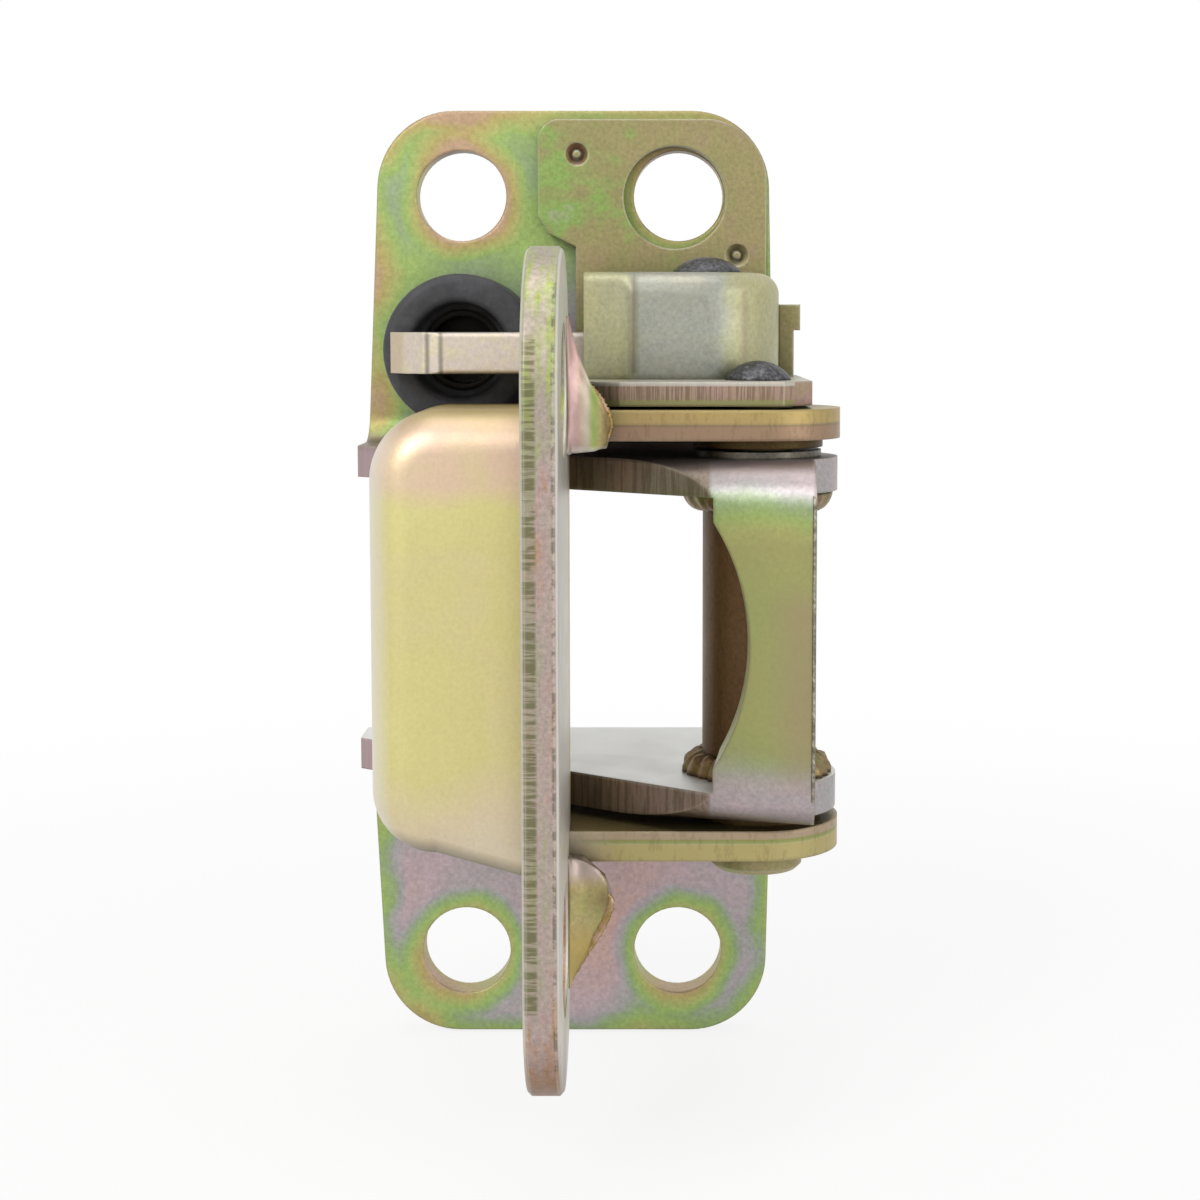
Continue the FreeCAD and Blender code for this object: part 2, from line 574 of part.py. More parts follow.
# Check cover: thin drawn housing on the flange, open below and on the left
coverSizes = {
    "coverGauge": 1.8, "coverLeft": 2.9, "coverRight": 29.9, "coverRear": 8.1, "coverFront": 34.5,
    "coverTop": 45.35, "coverCornerRadius": 12.0, "coverEdgeRadius": 3.0, "coverJoggle": 8.3,
    "coverRecess": 0.8}
addSizes(coverSizes)
body = newBody("check_cover")
coverGauge = size("coverGauge")
coverLeft = size("coverLeft")
coverRight = size("coverRight")
coverRear = size("coverRear")
coverFront = size("coverFront")
coverTop = size("coverTop")
coverCorner = size("coverCornerRadius")
coverHeight = coverTop - flangeTop
slab(body, "Outside", "XY_Plane", flangeTop, coverHeight, loops=[[
    (coverLeft, -coverRear), (coverLeft, -coverFront),
    (coverRight - coverCorner, -coverFront, (coverCorner, 1)),
    (coverRight, -(coverFront - coverCorner)), (coverRight, -coverRear)]])
roundEdges(body, "RearCorner", size("coverEdgeRadius"), lambda edge, middle:
           runsAlong(edge, alongZ) and at(middle.x, coverRight) and at(middle.y, -coverRear))
roundEdges(body, "TopEdges", size("coverEdgeRadius"), lambda edge, middle:
           at(middle.z, coverTop) and middle.x > coverLeft.value + 0.5)
joggle = size("coverJoggle")
recess = size("coverRecess")
innerCorner = coverCorner - coverGauge
innerRight = coverRight - coverGauge
innerFront = coverFront - coverGauge
slab(body, "Inside", "XY_Plane", flangeTop - 1, coverHeight - coverGauge + 1, cut=True, loops=[[
    (coverLeft - 1, -(coverRear + coverGauge)), (coverLeft - 1, -(innerFront - recess)),
    (joggle, -(innerFront - recess)), (joggle + 1, -innerFront),
    (innerRight - innerCorner, -innerFront, (innerCorner, 1)),
    (innerRight, -(innerFront - innerCorner)), (innerRight, -(coverRear + coverGauge))]])
slab(body, "LeftPanel", "XY_Plane", flangeTop - 1, coverHeight + 2, cut=True, loops=[[
    (coverLeft - 1, -(coverFront - recess)), (coverLeft - 1, -(coverFront + 1)),
    (joggle + 2.2, -(coverFront + 1)), (joggle + 1, -coverFront), (joggle, -(coverFront - recess))]])
bendTop = flangeTop + size("checkBend") + 0.4
slab(body, "BendClearance", "YZ_Plane", coverLeft - 1, coverRight - coverLeft + 2, cut=True, loops=[[
    (-(coverRear - 1), flangeTop - 1), (-(coverRear - 1), bendTop),
    (-(coverRear + coverGauge + 0.5), bendTop), (-(coverRear + coverGauge + 0.5), flangeTop - 1)]])
slab(body, "RivetHole", "XY_Plane", coverTop - coverGauge - 1, coverGauge + 2, cut=True, circles=[
    (size("rivetAcross"), -size("rivetOut"), size("rivetDiameter") + size("seatGap"))])

# Lever rivet: domed over the cover, countersunk flush under the flange
rivetSizes = {
    "rivetHeadDiameter": 9.5, "rivetHeadRise": 2.0}
addSizes(rivetSizes)
body = newBody("lever_rivet")
rivetHead = size("rivetHeadDiameter") / 2
turned(body, "Profile", "XZ_Plane", rivetCentre, [
    (0, flangeLow), (sinkRadius, flangeLow), (rivetRadius, flangeLow + size("sinkDepth")),
    (rivetRadius, coverTop)] + domeCorners(rivetHead, coverTop, size("rivetHeadRise")))

# Sleeve that spaces the cover from the flange and carries the lever
sleeveSizes = {
    "sleeveDiameter": 8.6, "leverWasherThick": 0.6, "leverWasherDiameter": 13.0}
addSizes(sleeveSizes)
body = newBody("pivot_sleeve")
sleeveBore = rivetRadius + looseSeat
sleeveRadius = size("sleeveDiameter") / 2
coverInside = coverTop - coverGauge
turned(body, "Tube", "XZ_Plane", rivetCentre, [
    (sleeveBore, flangeTop), (sleeveRadius, flangeTop),
    (sleeveRadius, coverInside), (sleeveBore, coverInside)])
body = newBody("lever_washer")
leverBore = sleeveRadius + size("runningGap")
leverLow = flangeTop + size("leverWasherThick")
turned(body, "Ring", "XZ_Plane", rivetCentre, [
    (leverBore, flangeTop), (size("leverWasherDiameter") / 2, flangeTop),
    (size("leverWasherDiameter") / 2, leverLow), (leverBore, leverLow)])

# Stop lever: thick bar with an eye on the sleeve and a bevelled nose over the bumper
leverSizes = {
    "leverGauge": 5.7, "leverLeft": 24.5, "leverRear": 20.8, "leverFront": 29.3, "leverEyeRadius": 7.0,
    "noseLength": 7.5, "noseDepth": 5.9}
addSizes(leverSizes)
body = newBody("stop_lever")
leverTop = leverLow + size("leverGauge")
leverLeft = size("leverLeft")
leverRear = size("leverRear")
leverFront = size("leverFront")
noseLength = size("noseLength")
noseDepth = size("noseDepth")
slab(body, "Bar", "XY_Plane", leverLow, size("leverGauge"), loops=[[
    (size("rivetAcross"), -leverRear), (-(leverLeft - 0.7), -leverRear),
    (-leverLeft, -(leverRear + 0.7)), (-leverLeft, -(leverFront - noseDepth)),
    (-(leverLeft - noseLength * 0.3), -(leverFront - noseDepth * 0.45)),
    (-(leverLeft - noseLength * 0.68), -(leverFront - noseDepth * 0.12)),
    (-(leverLeft - noseLength), -leverFront), (size("rivetAcross"), -leverFront)]])
roundEdges(body, "Edges", 0.6, lambda edge, middle:
           (at(middle.z, leverLow) or at(middle.z, leverTop)) and runsAlong(edge, alongX))
slab(body, "Eye", "XY_Plane", leverLow, size("leverGauge"), circles=[
    (size("rivetAcross"), -size("rivetOut"), size("leverEyeRadius") * 2)])
slab(body, "Bore", "XY_Plane", leverLow - 1, size("leverGauge") + 2, cut=True, circles=[
    (size("rivetAcross"), -size("rivetOut"), leverBore * 2)])

# Torsion spring on the sleeve, with both legs along the lever
springSizes = {
    "springWire": 1.6, "springRadius": 5.5, "springTurns": 2.5, "springPitch": 1.7, "springLeg": 13.0,
    "springSlip": 0.15}
addSizes(springSizes)
body = newBody("lever_spring")
wire = size("springWire")
coil = size("springRadius")
coilLow = leverTop + size("springSlip") + wire / 2
coilTop = coilLow + size("springPitch") * size("springTurns")
legLeft = size("rivetAcross") - size("springLeg")


def wireSection(across, up):
    """Eight-sided section of the wire about its centre."""
    flat = wire * 0.2071
    side = wire / 2
    offsets = [(side, -flat), (side, flat), (flat, side), (-flat, side),
               (-side, flat), (-side, -flat), (-flat, -side), (flat, -side)]
    return [(across + shift, up + lift) for shift, lift in offsets]


sketch = newSketch(body, "Wire", "YZ_Plane", (-size("rivetOut"), 0, size("rivetAcross")))
drawLoop(sketch, wireSection(-coil, coilLow))
helix = body.newObject("PartDesign::AdditiveHelix", "lever_springCoil")
helix.Profile = sketch
helix.ReferenceAxis = (sketch, ["V_Axis"])
helix.Mode = 1
helix.Pitch = size("springPitch").value
helix.setExpression("Pitch", size("springPitch").text)
helix.Turns = size("springTurns").value
helix.setExpression("Turns", size("springTurns").text)
helix.Angle = 0
sketch.Visibility = False
doc.recompute()
slab(body, "FrontLeg", "YZ_Plane", legLeft, size("springLeg"),
     loops=[wireSection(-(size("rivetOut") + coil), coilLow)])
slab(body, "RearLeg", "YZ_Plane", legLeft, size("springLeg"),
     loops=[wireSection(-(size("rivetOut") - coil), coilTop)])

# Rubber bumper on the upper lobe, with the plated sleeve that holds it
bumperSizes = {
    "bumperDiameter": 21.8, "bumperOut": 20.5, "bumperRecess": 13.6, "bumperRecessDepth": 5.5,
    "bumperEdge": 1.2, "tubeDiameter": 11.6, "tubeWall": 0.9, "tubeOut": 13.8, "tubeFloorOut": 8.0,
    "spigotShort": 0.2}
addSizes(bumperSizes)
body = newBody("rubber_bumper")
bumperCentre = (size("bumperAcross"), 0, size("bumperUp"))
bumperRadius = size("bumperDiameter") / 2
bumperOut = size("bumperOut")
softEdge = size("bumperEdge")
recessRadius = size("bumperRecess") / 2
recessOut = bumperOut - size("bumperRecessDepth")
tubeRadius = size("tubeDiameter") / 2
turned(body, "Profile", "XY_Plane", bumperCentre, [
    (tubeRadius + looseSeat, -gauge), (bumperRadius - softEdge, -gauge),
    (bumperRadius, -(gauge + softEdge)), (bumperRadius, -(bumperOut - softEdge)),
    (bumperRadius - softEdge * 0.35, -(bumperOut - softEdge * 0.35)), (bumperRadius - softEdge, -bumperOut),
    (recessRadius, -bumperOut), (recessRadius, -recessOut), (tubeRadius + looseSeat, -recessOut)])
body = newBody("bumper_sleeve")
tubeInside = tubeRadius - size("tubeWall")
spigot = size("spigotDiameter") / 2
turned(body, "Profile", "XY_Plane", bumperCentre, [
    (0, -size("spigotShort")), (spigot, -size("spigotShort")), (spigot, -gauge), (tubeRadius, -gauge),
    (tubeRadius, -size("tubeOut")), (tubeInside, -size("tubeOut")),
    (tubeInside, -size("tubeFloorOut")), (0, -size("tubeFloorOut"))])

# Check every object and write each piece to its own file
doc.recompute()
for item in doc.Objects:
    if "Invalid" in item.State or "Error" in item.State:
        raise RuntimeError("failed: %s %s" % (item.Name, item.State))
os.makedirs("parts", exist_ok=True)
for item in doc.Objects:
    if item.TypeId == "PartDesign::Body":
        shape = item.Shape
        if shape.isNull() or not shape.isValid():
            raise RuntimeError("bad shape: " + item.Label)
        box = shape.BoundBox
        print("%-20s %d %8.0f  x %.2f %.2f  y %.2f %.2f  z %.2f %.2f" % (
            item.Label, len(shape.Solids), shape.Volume,
            box.XMin, box.XMax, box.YMin, box.YMax, box.ZMin, box.ZMax))
        shape.exportStep("parts/%s.step" % item.Label)
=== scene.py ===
# Vehicle door hinge with stop lever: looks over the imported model, in metres.
# +Z runs up along the pin, -Y comes out of the pillar towards the camera.
import math
import bpy
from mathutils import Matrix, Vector, noise


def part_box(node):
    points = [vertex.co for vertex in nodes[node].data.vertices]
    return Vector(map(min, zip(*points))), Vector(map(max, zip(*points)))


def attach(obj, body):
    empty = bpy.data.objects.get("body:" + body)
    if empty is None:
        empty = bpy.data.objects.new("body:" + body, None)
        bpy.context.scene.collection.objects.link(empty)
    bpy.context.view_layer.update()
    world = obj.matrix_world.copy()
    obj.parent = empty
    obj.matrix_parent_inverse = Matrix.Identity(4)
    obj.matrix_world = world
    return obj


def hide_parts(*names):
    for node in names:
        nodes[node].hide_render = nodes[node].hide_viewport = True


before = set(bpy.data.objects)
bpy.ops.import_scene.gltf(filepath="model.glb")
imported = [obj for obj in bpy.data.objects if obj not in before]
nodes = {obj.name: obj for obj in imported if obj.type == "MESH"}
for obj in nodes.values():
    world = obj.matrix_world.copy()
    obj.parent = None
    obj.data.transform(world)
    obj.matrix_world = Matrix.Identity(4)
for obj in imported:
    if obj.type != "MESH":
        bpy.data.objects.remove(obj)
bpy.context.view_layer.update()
mm = 0.001
pinPlace = (26.3, -36.5)  # axis of the door pin, across and out in mm
rivetPlace = (19.8, -23.5)  # axis of the lever's rivet
print("frame loaded:", len(nodes), "nodes")


def toLinear(code, alpha=1.0):
    # sRGB hex to the linear values that Blender's sockets take
    parts = [int(code[i:i + 2], 16) / 255 for i in (1, 3, 5)]
    return tuple(c / 12.92 if c <= 0.04045 else ((c + 0.055) / 1.055) ** 2.4 for c in parts) + (alpha,)


def addNode(tree, kind, settings=None, links=None):
    # one node, with attributes or socket values set by name, and its inputs linked
    node = tree.nodes.new(kind)
    for key, value in (settings or {}).items():
        if isinstance(key, str) and hasattr(node, key):
            setattr(node, key, value)
        else:
            node.inputs[key].default_value = value
    for key, source in (links or {}).items():
        tree.links.new(source, node.inputs[key])
    return node


def fillRamp(ramp, stops):
    # stops are (place, sRGB hex) pairs
    elements = ramp.color_ramp.elements
    while len(elements) > 1:
        elements.remove(elements[-1])
    elements[0].position, elements[0].color = stops[0][0], toLinear(stops[0][1])
    for place, code in stops[1:]:
        elements.new(place).color = toLinear(code)


def newMaterial(name):
    material = bpy.data.materials.new(name)
    material.use_nodes = True
    tree = material.node_tree
    place = addNode(tree, "ShaderNodeTexCoord")
    inMm = addNode(tree, "ShaderNodeVectorMath", {"operation": "SCALE", "Scale": 1000.0},
                   {0: place.outputs["Object"]}).outputs[0]
    return material, tree, tree.nodes["Principled BSDF"], inMm


def gridFaces(rows, columns):
    # quads between the points of a sheet that is laid out row by row
    across = columns + 1
    return [[row * across + column, (row + 1) * across + column,
             (row + 1) * across + column + 1, row * across + column + 1]
            for row in range(rows) for column in range(columns)]


def meshPiece(name, points, faces, material, smooth=True):
    mesh = bpy.data.meshes.new(name)
    mesh.from_pydata([tuple(p) for p in points], [], faces)
    mesh.validate()
    mesh.polygons.foreach_set("use_smooth", [smooth] * len(mesh.polygons))
    mesh.materials.append(material)
    piece = bpy.data.objects.new(name, mesh)
    bpy.context.scene.collection.objects.link(piece)
    return piece


def lathePiece(name, profile, centre, material, segments=96, axis="Z", shape=None):
    # turns (radius, level) pairs in mm round the axis; shape may move a point by its angle and place
    points, faces = [], []
    for step in range(segments):
        angle = 2 * math.pi * step / segments
        for row, (radius, level) in enumerate(profile):
            if shape:
                radius, level = shape(angle, row, radius, level)
            across, side = radius * math.cos(angle), radius * math.sin(angle)
            spot = Vector((across, side, level)) if axis == "Z" else Vector((across, level, side))
            points.append((Vector(centre) + spot) * mm)
    count = len(profile)
    for step in range(segments):
        here, after = step * count, (step + 1) % segments * count
        for row in range(count - 1):
            corners = [here + row, after + row, after + row + 1, here + row + 1]
            faces.append(corners if axis == "Z" else corners[::-1])
    return meshPiece(name, points, faces, material)


def solidify(piece, thickness):
    # gives a thin sheet its thickness in mm, half to each side
    wall = piece.modifiers.new("Wall", "SOLIDIFY")
    wall.thickness = thickness * mm
    wall.offset = 0.0


def closeEnds(piece):
    # merges the points of a lathe that meet on the axis
    weld = piece.modifiers.new("Merge", "WELD")
    weld.merge_threshold = 0.01 * mm
    return piece


# Yellow chromate over zinc plate. The thin film gives gold, pink, lilac and green by its
# thickness, so one film value runs through a ramp of those colours. It looks like a satin metal
# with slow drifts of colour, which are strongest beside holes and cut edges.
filmOrder = [(0.00, "#B89B78"), (0.14, "#BF9E92"), (0.26, "#B3A0A4"), (0.38, "#A3A09F"),
             (0.50, "#93A57C"), (0.62, "#97AF66"), (0.74, "#A7AD6A"), (0.88, "#AE9F66"), (1.00, "#B4977A")]


def softBox(tree, inMm, box, soft):
    # 1 inside a box in mm, falling to 0 over the soft width, which is one for all axes or one
    # for each. None leaves an axis open.
    widths = soft if isinstance(soft, tuple) else (soft, soft, soft)
    parts = addNode(tree, "ShaderNodeSeparateXYZ", None, {0: inMm})
    inside = None
    for axis, span, width in zip("XYZ", box, widths):
        if span is None:
            continue
        middle, half = (span[0] + span[1]) / 2, (span[1] - span[0]) / 2
        away = addNode(tree, "ShaderNodeMath", {"operation": "SUBTRACT", 1: middle}, {0: parts.outputs[axis]})
        away = addNode(tree, "ShaderNodeMath", {"operation": "ABSOLUTE"}, {0: away.outputs[0]})
        near = addNode(tree, "ShaderNodeMapRange",
                       {"From Min": half + width / 2, "From Max": half - width / 2, "To Min": 0.0,
                        "To Max": 1.0}, {"Value": away.outputs[0]}).outputs[0]
        inside = near if inside is None else addNode(
            tree, "ShaderNodeMath", {"operation": "MULTIPLY"}, {0: inside, 1: near}).outputs[0]
    return inside


def toneBox(box, soft, code, amount):
    # another tone inside a box, for burnished strips, stained places and painted highlights
    def cover(tree, inMm):
        return addNode(tree, "ShaderNodeMath", {"operation": "MULTIPLY", 1: amount},
                       {0: softBox(tree, inMm, box, soft)}).outputs[0]
    return cover, code


def paintedFacingTone(direction, code, amount, box=None):
    # another tone on the faces that look one way: painted light and shade by how a face looks, such as darker
    # brown undersides
    def cover(tree, inMm):
        side = addNode(tree, "ShaderNodeTexCoord").outputs["Normal"]
        turned = addNode(tree, "ShaderNodeVectorMath", {"operation": "DOT_PRODUCT", 1: direction},
                         {0: side}).outputs["Value"]
        share = addNode(tree, "ShaderNodeMapRange", {"From Min": 0.45, "From Max": 0.95, "To Min": 0.0,
                        "To Max": amount}, {"Value": turned}).outputs[0]
        if box:
            share = addNode(tree, "ShaderNodeMath", {"operation": "MULTIPLY"},
                            {0: share, 1: softBox(tree, inMm, box, 2.0)}).outputs[0]
        return share
    return cover, code


def shearLines(box, soft, stretch, code, amount, middle=0.5):
    # tear lines that the punch leaves across a cut edge, a quarter of a millimetre to one apart;
    # stretch says how many fall on a millimetre of each axis
    def cover(tree, inMm):
        scaled = addNode(tree, "ShaderNodeVectorMath", {"operation": "MULTIPLY", 1: stretch},
                         {0: inMm}).outputs[0]
        lines = addNode(tree, "ShaderNodeTexNoise", {"Scale": 1.0, "Detail": 3.0, "Roughness": 0.65},
                        {"Vector": scaled}).outputs["Fac"]
        share = addNode(tree, "ShaderNodeMapRange", {"From Min": middle - 0.03, "From Max": middle + 0.07,
                        "To Min": 0.0, "To Max": amount}, {"Value": lines}).outputs[0]
        return addNode(tree, "ShaderNodeMath", {"operation": "MULTIPLY"},
                       {0: share, 1: softBox(tree, inMm, box, soft)}).outputs[0]
    return cover, code


def filmOnLobes(tree, inMm, film, lobes):
    # on the bolting lobes the film changes near the holes and the outline, and in a few pools
    onLobe = softBox(tree, inMm, (None, (-9.0, 2.0), None), 2.0)
    wobble = addNode(tree, "ShaderNodeTexNoise", {"Scale": 1 / lobes["wobbleSize"], "Detail": 2.0},
                     {"Vector": inMm}).outputs["Fac"]
    for ring in (lobes["holes"], lobes["outline"]):
        shifted = addNode(tree, "ShaderNodeVectorMath",
                          {"operation": "SUBTRACT", 1: (ring["shift"], 0.0, 0.0)}, {0: inMm}).outputs[0]
        folded = addNode(tree, "ShaderNodeVectorMath", {"operation": "ABSOLUTE"}, {0: shifted}).outputs[0]
        offset = addNode(tree, "ShaderNodeVectorMath", {"operation": "SUBTRACT",
                         1: (ring["across"], 0.0, ring["up"])}, {0: folded}).outputs[0]
        # a hole's ring counts every way from its centre, the outline's only beyond the corner's centre
        low = (-99.0, 0.0, -99.0) if ring["outer"] > ring["inner"] else (0.0, 0.0, 0.0)
        offset = addNode(tree, "ShaderNodeVectorMath", {"operation": "MAXIMUM", 1: low},
                         {0: offset}).outputs[0]
        flat = addNode(tree, "ShaderNodeVectorMath", {"operation": "MULTIPLY", 1: (1.0, 0.0, 1.0)},
                       {0: offset}).outputs[0]
        radius = addNode(tree, "ShaderNodeVectorMath", {"operation": "LENGTH"}, {0: flat}).outputs["Value"]
        radius = addNode(tree, "ShaderNodeMath", {"operation": "MULTIPLY_ADD", 1: ring["wobble"]},
                         {0: wobble, 2: radius}).outputs[0]
        radius = addNode(tree, "ShaderNodeMath", {"operation": "SUBTRACT", 1: ring["wobble"] / 2},
                         {0: radius}).outputs[0]
        value = addNode(tree, "ShaderNodeMapRange", {"From Min": ring["inner"], "From Max": ring["outer"],
                        "To Min": ring["amount"], "To Max": 0.0}, {"Value": radius}).outputs[0]
        film = addNode(tree, "ShaderNodeMath", {"operation": "MULTIPLY_ADD"},
                       {0: value, 1: onLobe, 2: film}).outputs[0]
    for across, up, reach, amount in lobes["pools"]:
        centre = (across, -lobes["gauge"], up)
        away = addNode(tree, "ShaderNodeVectorMath", {"operation": "SUBTRACT", 1: centre},
                       {0: inMm}).outputs[0]
        away = addNode(tree, "ShaderNodeVectorMath", {"operation": "LENGTH"}, {0: away}).outputs["Value"]
        value = addNode(tree, "ShaderNodeMapRange", {"interpolation_type": "SMOOTHSTEP", "From Min": 0.0,
                        "From Max": reach, "To Min": amount, "To Max": 0.0}, {"Value": away}).outputs[0]
        film = addNode(tree, "ShaderNodeMath", {"operation": "ADD"}, {0: film, 1: value}).outputs[0]
    return film


def platedSteel(name, look):
    material, tree, shader, inMm = newMaterial(name)
    stretched = addNode(tree, "ShaderNodeVectorMath", {"operation": "MULTIPLY", 1: look["stretch"]},
                        {0: inMm}).outputs[0]
    patches = addNode(tree, "ShaderNodeTexNoise", {"Scale": 1 / look["patchSize"], "Detail": 3.0,
                      "Roughness": 0.55, "Distortion": 0.6}, {"Vector": stretched}).outputs["Fac"]
    blotches = addNode(tree, "ShaderNodeTexNoise", {"Scale": 1 / look["blotchSize"], "Detail": 4.0,
                       "Roughness": 0.6}, {"Vector": stretched}).outputs["Fac"]
    film = addNode(tree, "ShaderNodeMath", {"operation": "MULTIPLY_ADD", 1: look["patchAmount"],
                   2: look["film"] - look["patchAmount"] / 2}, {0: patches}).outputs[0]
    part = addNode(tree, "ShaderNodeMath", {"operation": "MULTIPLY_ADD", 1: look["blotchAmount"],
                   2: -look["blotchAmount"] / 2}, {0: blotches}).outputs[0]
    film = addNode(tree, "ShaderNodeMath", {"operation": "ADD"}, {0: film, 1: part}).outputs[0]
    for box, soft, amount in look.get("drifts", []):
        # the film is thicker or thinner inside a box
        film = addNode(tree, "ShaderNodeMath", {"operation": "MULTIPLY_ADD", 1: amount},
                       {0: softBox(tree, inMm, box, soft), 2: film}).outputs[0]
    if "lobes" in look:
        film = filmOnLobes(tree, inMm, film, look["lobes"])
    ramp = addNode(tree, "ShaderNodeValToRGB", None, {"Fac": film})
    fillRamp(ramp, look.get("colours", filmOrder))
    # zinc grain of about 0.2 mm, drawn at three times that so that it shows
    grain = addNode(tree, "ShaderNodeTexNoise", {"Scale": 1 / look["grainSize"], "Detail": 3.0,
                    "Roughness": 0.7}, {"Vector": inMm}).outputs["Fac"]
    grainTone = addNode(tree, "ShaderNodeMapRange", {"From Min": 0.3, "From Max": 0.7,
                        "To Min": 1 - look["grainTone"], "To Max": 1 + look["grainTone"]},
                        {"Value": grain}).outputs[0]
    colour = addNode(tree, "ShaderNodeMix", {"data_type": "RGBA", "blend_type": "MULTIPLY", 0: 1.0},
                     {6: ramp.outputs[0], 7: grainTone}).outputs[2]
    for cover, code in look.get("marks", []):
        colour = addNode(tree, "ShaderNodeMix", {"data_type": "RGBA", 7: toLinear(code)},
                         {0: cover(tree, inMm), 6: colour}).outputs[2]
    # cut edges and corners take another tone: where it is pale, partly the zinc showing through the thin film
    # and partly a painted highlight along the edge
    rounded = addNode(tree, "ShaderNodeBevel", {"samples": 4, "Radius": look["edgeWidth"] * mm})
    flatSide = addNode(tree, "ShaderNodeNewGeometry")
    sameWay = addNode(tree, "ShaderNodeVectorMath", {"operation": "DOT_PRODUCT"},
                      {0: rounded.outputs[0], 1: flatSide.outputs["Normal"]}).outputs["Value"]
    edge = addNode(tree, "ShaderNodeMapRange", {"From Min": 0.995, "From Max": 0.80,
                   "To Min": 0.0, "To Max": look["edgeAmount"]}, {"Value": sameWay}).outputs[0]
    colour = addNode(tree, "ShaderNodeMix", {"data_type": "RGBA", 7: toLinear(look["edgeColour"])},
                     {0: edge, 6: colour}).outputs[2]
    # painted shade: colour darkens in corners and crevices, by how closely other faces surround them
    corner = addNode(tree, "ShaderNodeAmbientOcclusion", {"samples": 6, "Distance": look["cornerShadeReach"] * mm})
    shade = addNode(tree, "ShaderNodeMapRange", {"From Min": 0.15, "From Max": 0.8,
                    "To Min": look["cornerShadeTone"], "To Max": 1.0}, {"Value": corner.outputs["AO"]}).outputs[0]
    colour = addNode(tree, "ShaderNodeMix", {"data_type": "RGBA", "blend_type": "MULTIPLY", 0: 1.0},
                     {6: colour, 7: shade}).outputs[2]
    tree.links.new(colour, shader.inputs["Base Color"])
    shader.inputs["Metallic"].default_value = look["metal"]
    dull = addNode(tree, "ShaderNodeMapRange", {"From Min": 0.3, "From Max": 0.7,
                   "To Min": look["roughness"] - 0.06, "To Max": look["roughness"] + 0.08},
                   {"Value": blotches}).outputs[0]
    tree.links.new(dull, shader.inputs["Roughness"])
    # rolled sheet is never quite flat, which breaks up its highlights
    waves = addNode(tree, "ShaderNodeTexNoise", {"Scale": 1 / look["waveSize"], "Detail": 2.0},
                    {"Vector": inMm}).outputs["Fac"]
    soft = addNode(tree, "ShaderNodeBump", {"Strength": look["waveBump"], "Distance": 0.25 * mm},
                   {"Height": waves, "Normal": rounded.outputs[0]}).outputs[0]
    fine = addNode(tree, "ShaderNodeBump", {"Strength": look["bump"], "Distance": 0.08 * mm},
                   {"Height": grain, "Normal": soft}).outputs[0]
    tree.links.new(fine, shader.inputs["Normal"])
    return material


def bareMetal(name, look):
    # unplated metal: grey, brown or near black, with a fine grain and a soft gloss
    material, tree, shader, inMm = newMaterial(name)
    grain = addNode(tree, "ShaderNodeTexNoise", {"Scale": 1 / look["grain"], "Detail": 5.0,
                    "Roughness": 0.65}, {"Vector": inMm}).outputs["Fac"]
    ramp = addNode(tree, "ShaderNodeValToRGB", None, {"Fac": grain})
    fillRamp(ramp, look["colours"])
    tree.links.new(ramp.outputs[0], shader.inputs["Base Color"])
    shader.inputs["Metallic"].default_value = 1.0
    dull = addNode(tree, "ShaderNodeMapRange", {"From Min": 0.3, "From Max": 0.7,
                   "To Min": look["roughness"] - 0.07, "To Max": look["roughness"] + 0.09},
                   {"Value": grain}).outputs[0]
    tree.links.new(dull, shader.inputs["Roughness"])
    rounded = addNode(tree, "ShaderNodeBevel", {"samples": 4, "Radius": 0.25 * mm})
    bump = addNode(tree, "ShaderNodeBump", {"Strength": 0.35, "Distance": 0.06 * mm},
                   {"Height": grain, "Normal": rounded.outputs[0]}).outputs[0]
    tree.links.new(bump, shader.inputs["Normal"])
    return material


def mouldedRubber(name, look):
    # moulded rubber: matt black, with a fine bloom that greys it a little
    material, tree, shader, inMm = newMaterial(name)
    bloom = addNode(tree, "ShaderNodeTexNoise", {"Scale": 1 / look["bloomSize"], "Detail": 5.0,
                    "Roughness": 0.7}, {"Vector": inMm}).outputs["Fac"]
    ramp = addNode(tree, "ShaderNodeValToRGB", None, {"Fac": bloom})
    fillRamp(ramp, look["colours"])
    tree.links.new(ramp.outputs[0], shader.inputs["Base Color"])
    shader.inputs["Roughness"].default_value = look["roughness"]
    shader.inputs["IOR"].default_value = look["ior"]
    pores = addNode(tree, "ShaderNodeTexNoise", {"Scale": 1 / look["poreSize"], "Detail": 3.0},
                    {"Vector": inMm}).outputs["Fac"]
    bump = addNode(tree, "ShaderNodeBump", {"Strength": 0.4, "Distance": 0.08 * mm},
                   {"Height": pores}).outputs[0]
    tree.links.new(bump, shader.inputs["Normal"])
    return material


# values that the plated pieces share: sizes are in mm, film is the place on the ramp of colours
plated = {"patchSize": 26.0, "patchAmount": 0.9, "blotchSize": 7.0, "blotchAmount": 0.22, "film": 0.5,
          "stretch": (1.0, 1.0, 1.0), "grainSize": 0.6, "grainTone": 0.15, "edgeWidth": 0.7,
          "edgeAmount": 0.4, "edgeColour": "#C8BFA6", "cornerShadeReach": 8.0, "cornerShadeTone": 0.34,
          "metal": 0.70, "roughness": 0.42, "bump": 0.28, "waveSize": 5.0, "waveBump": 0.30}
# painted shade: faces that look down are darkened to brown
paintedUndersideShade = paintedFacingTone((0, 0, -1), "#4A3A1C", 0.85)

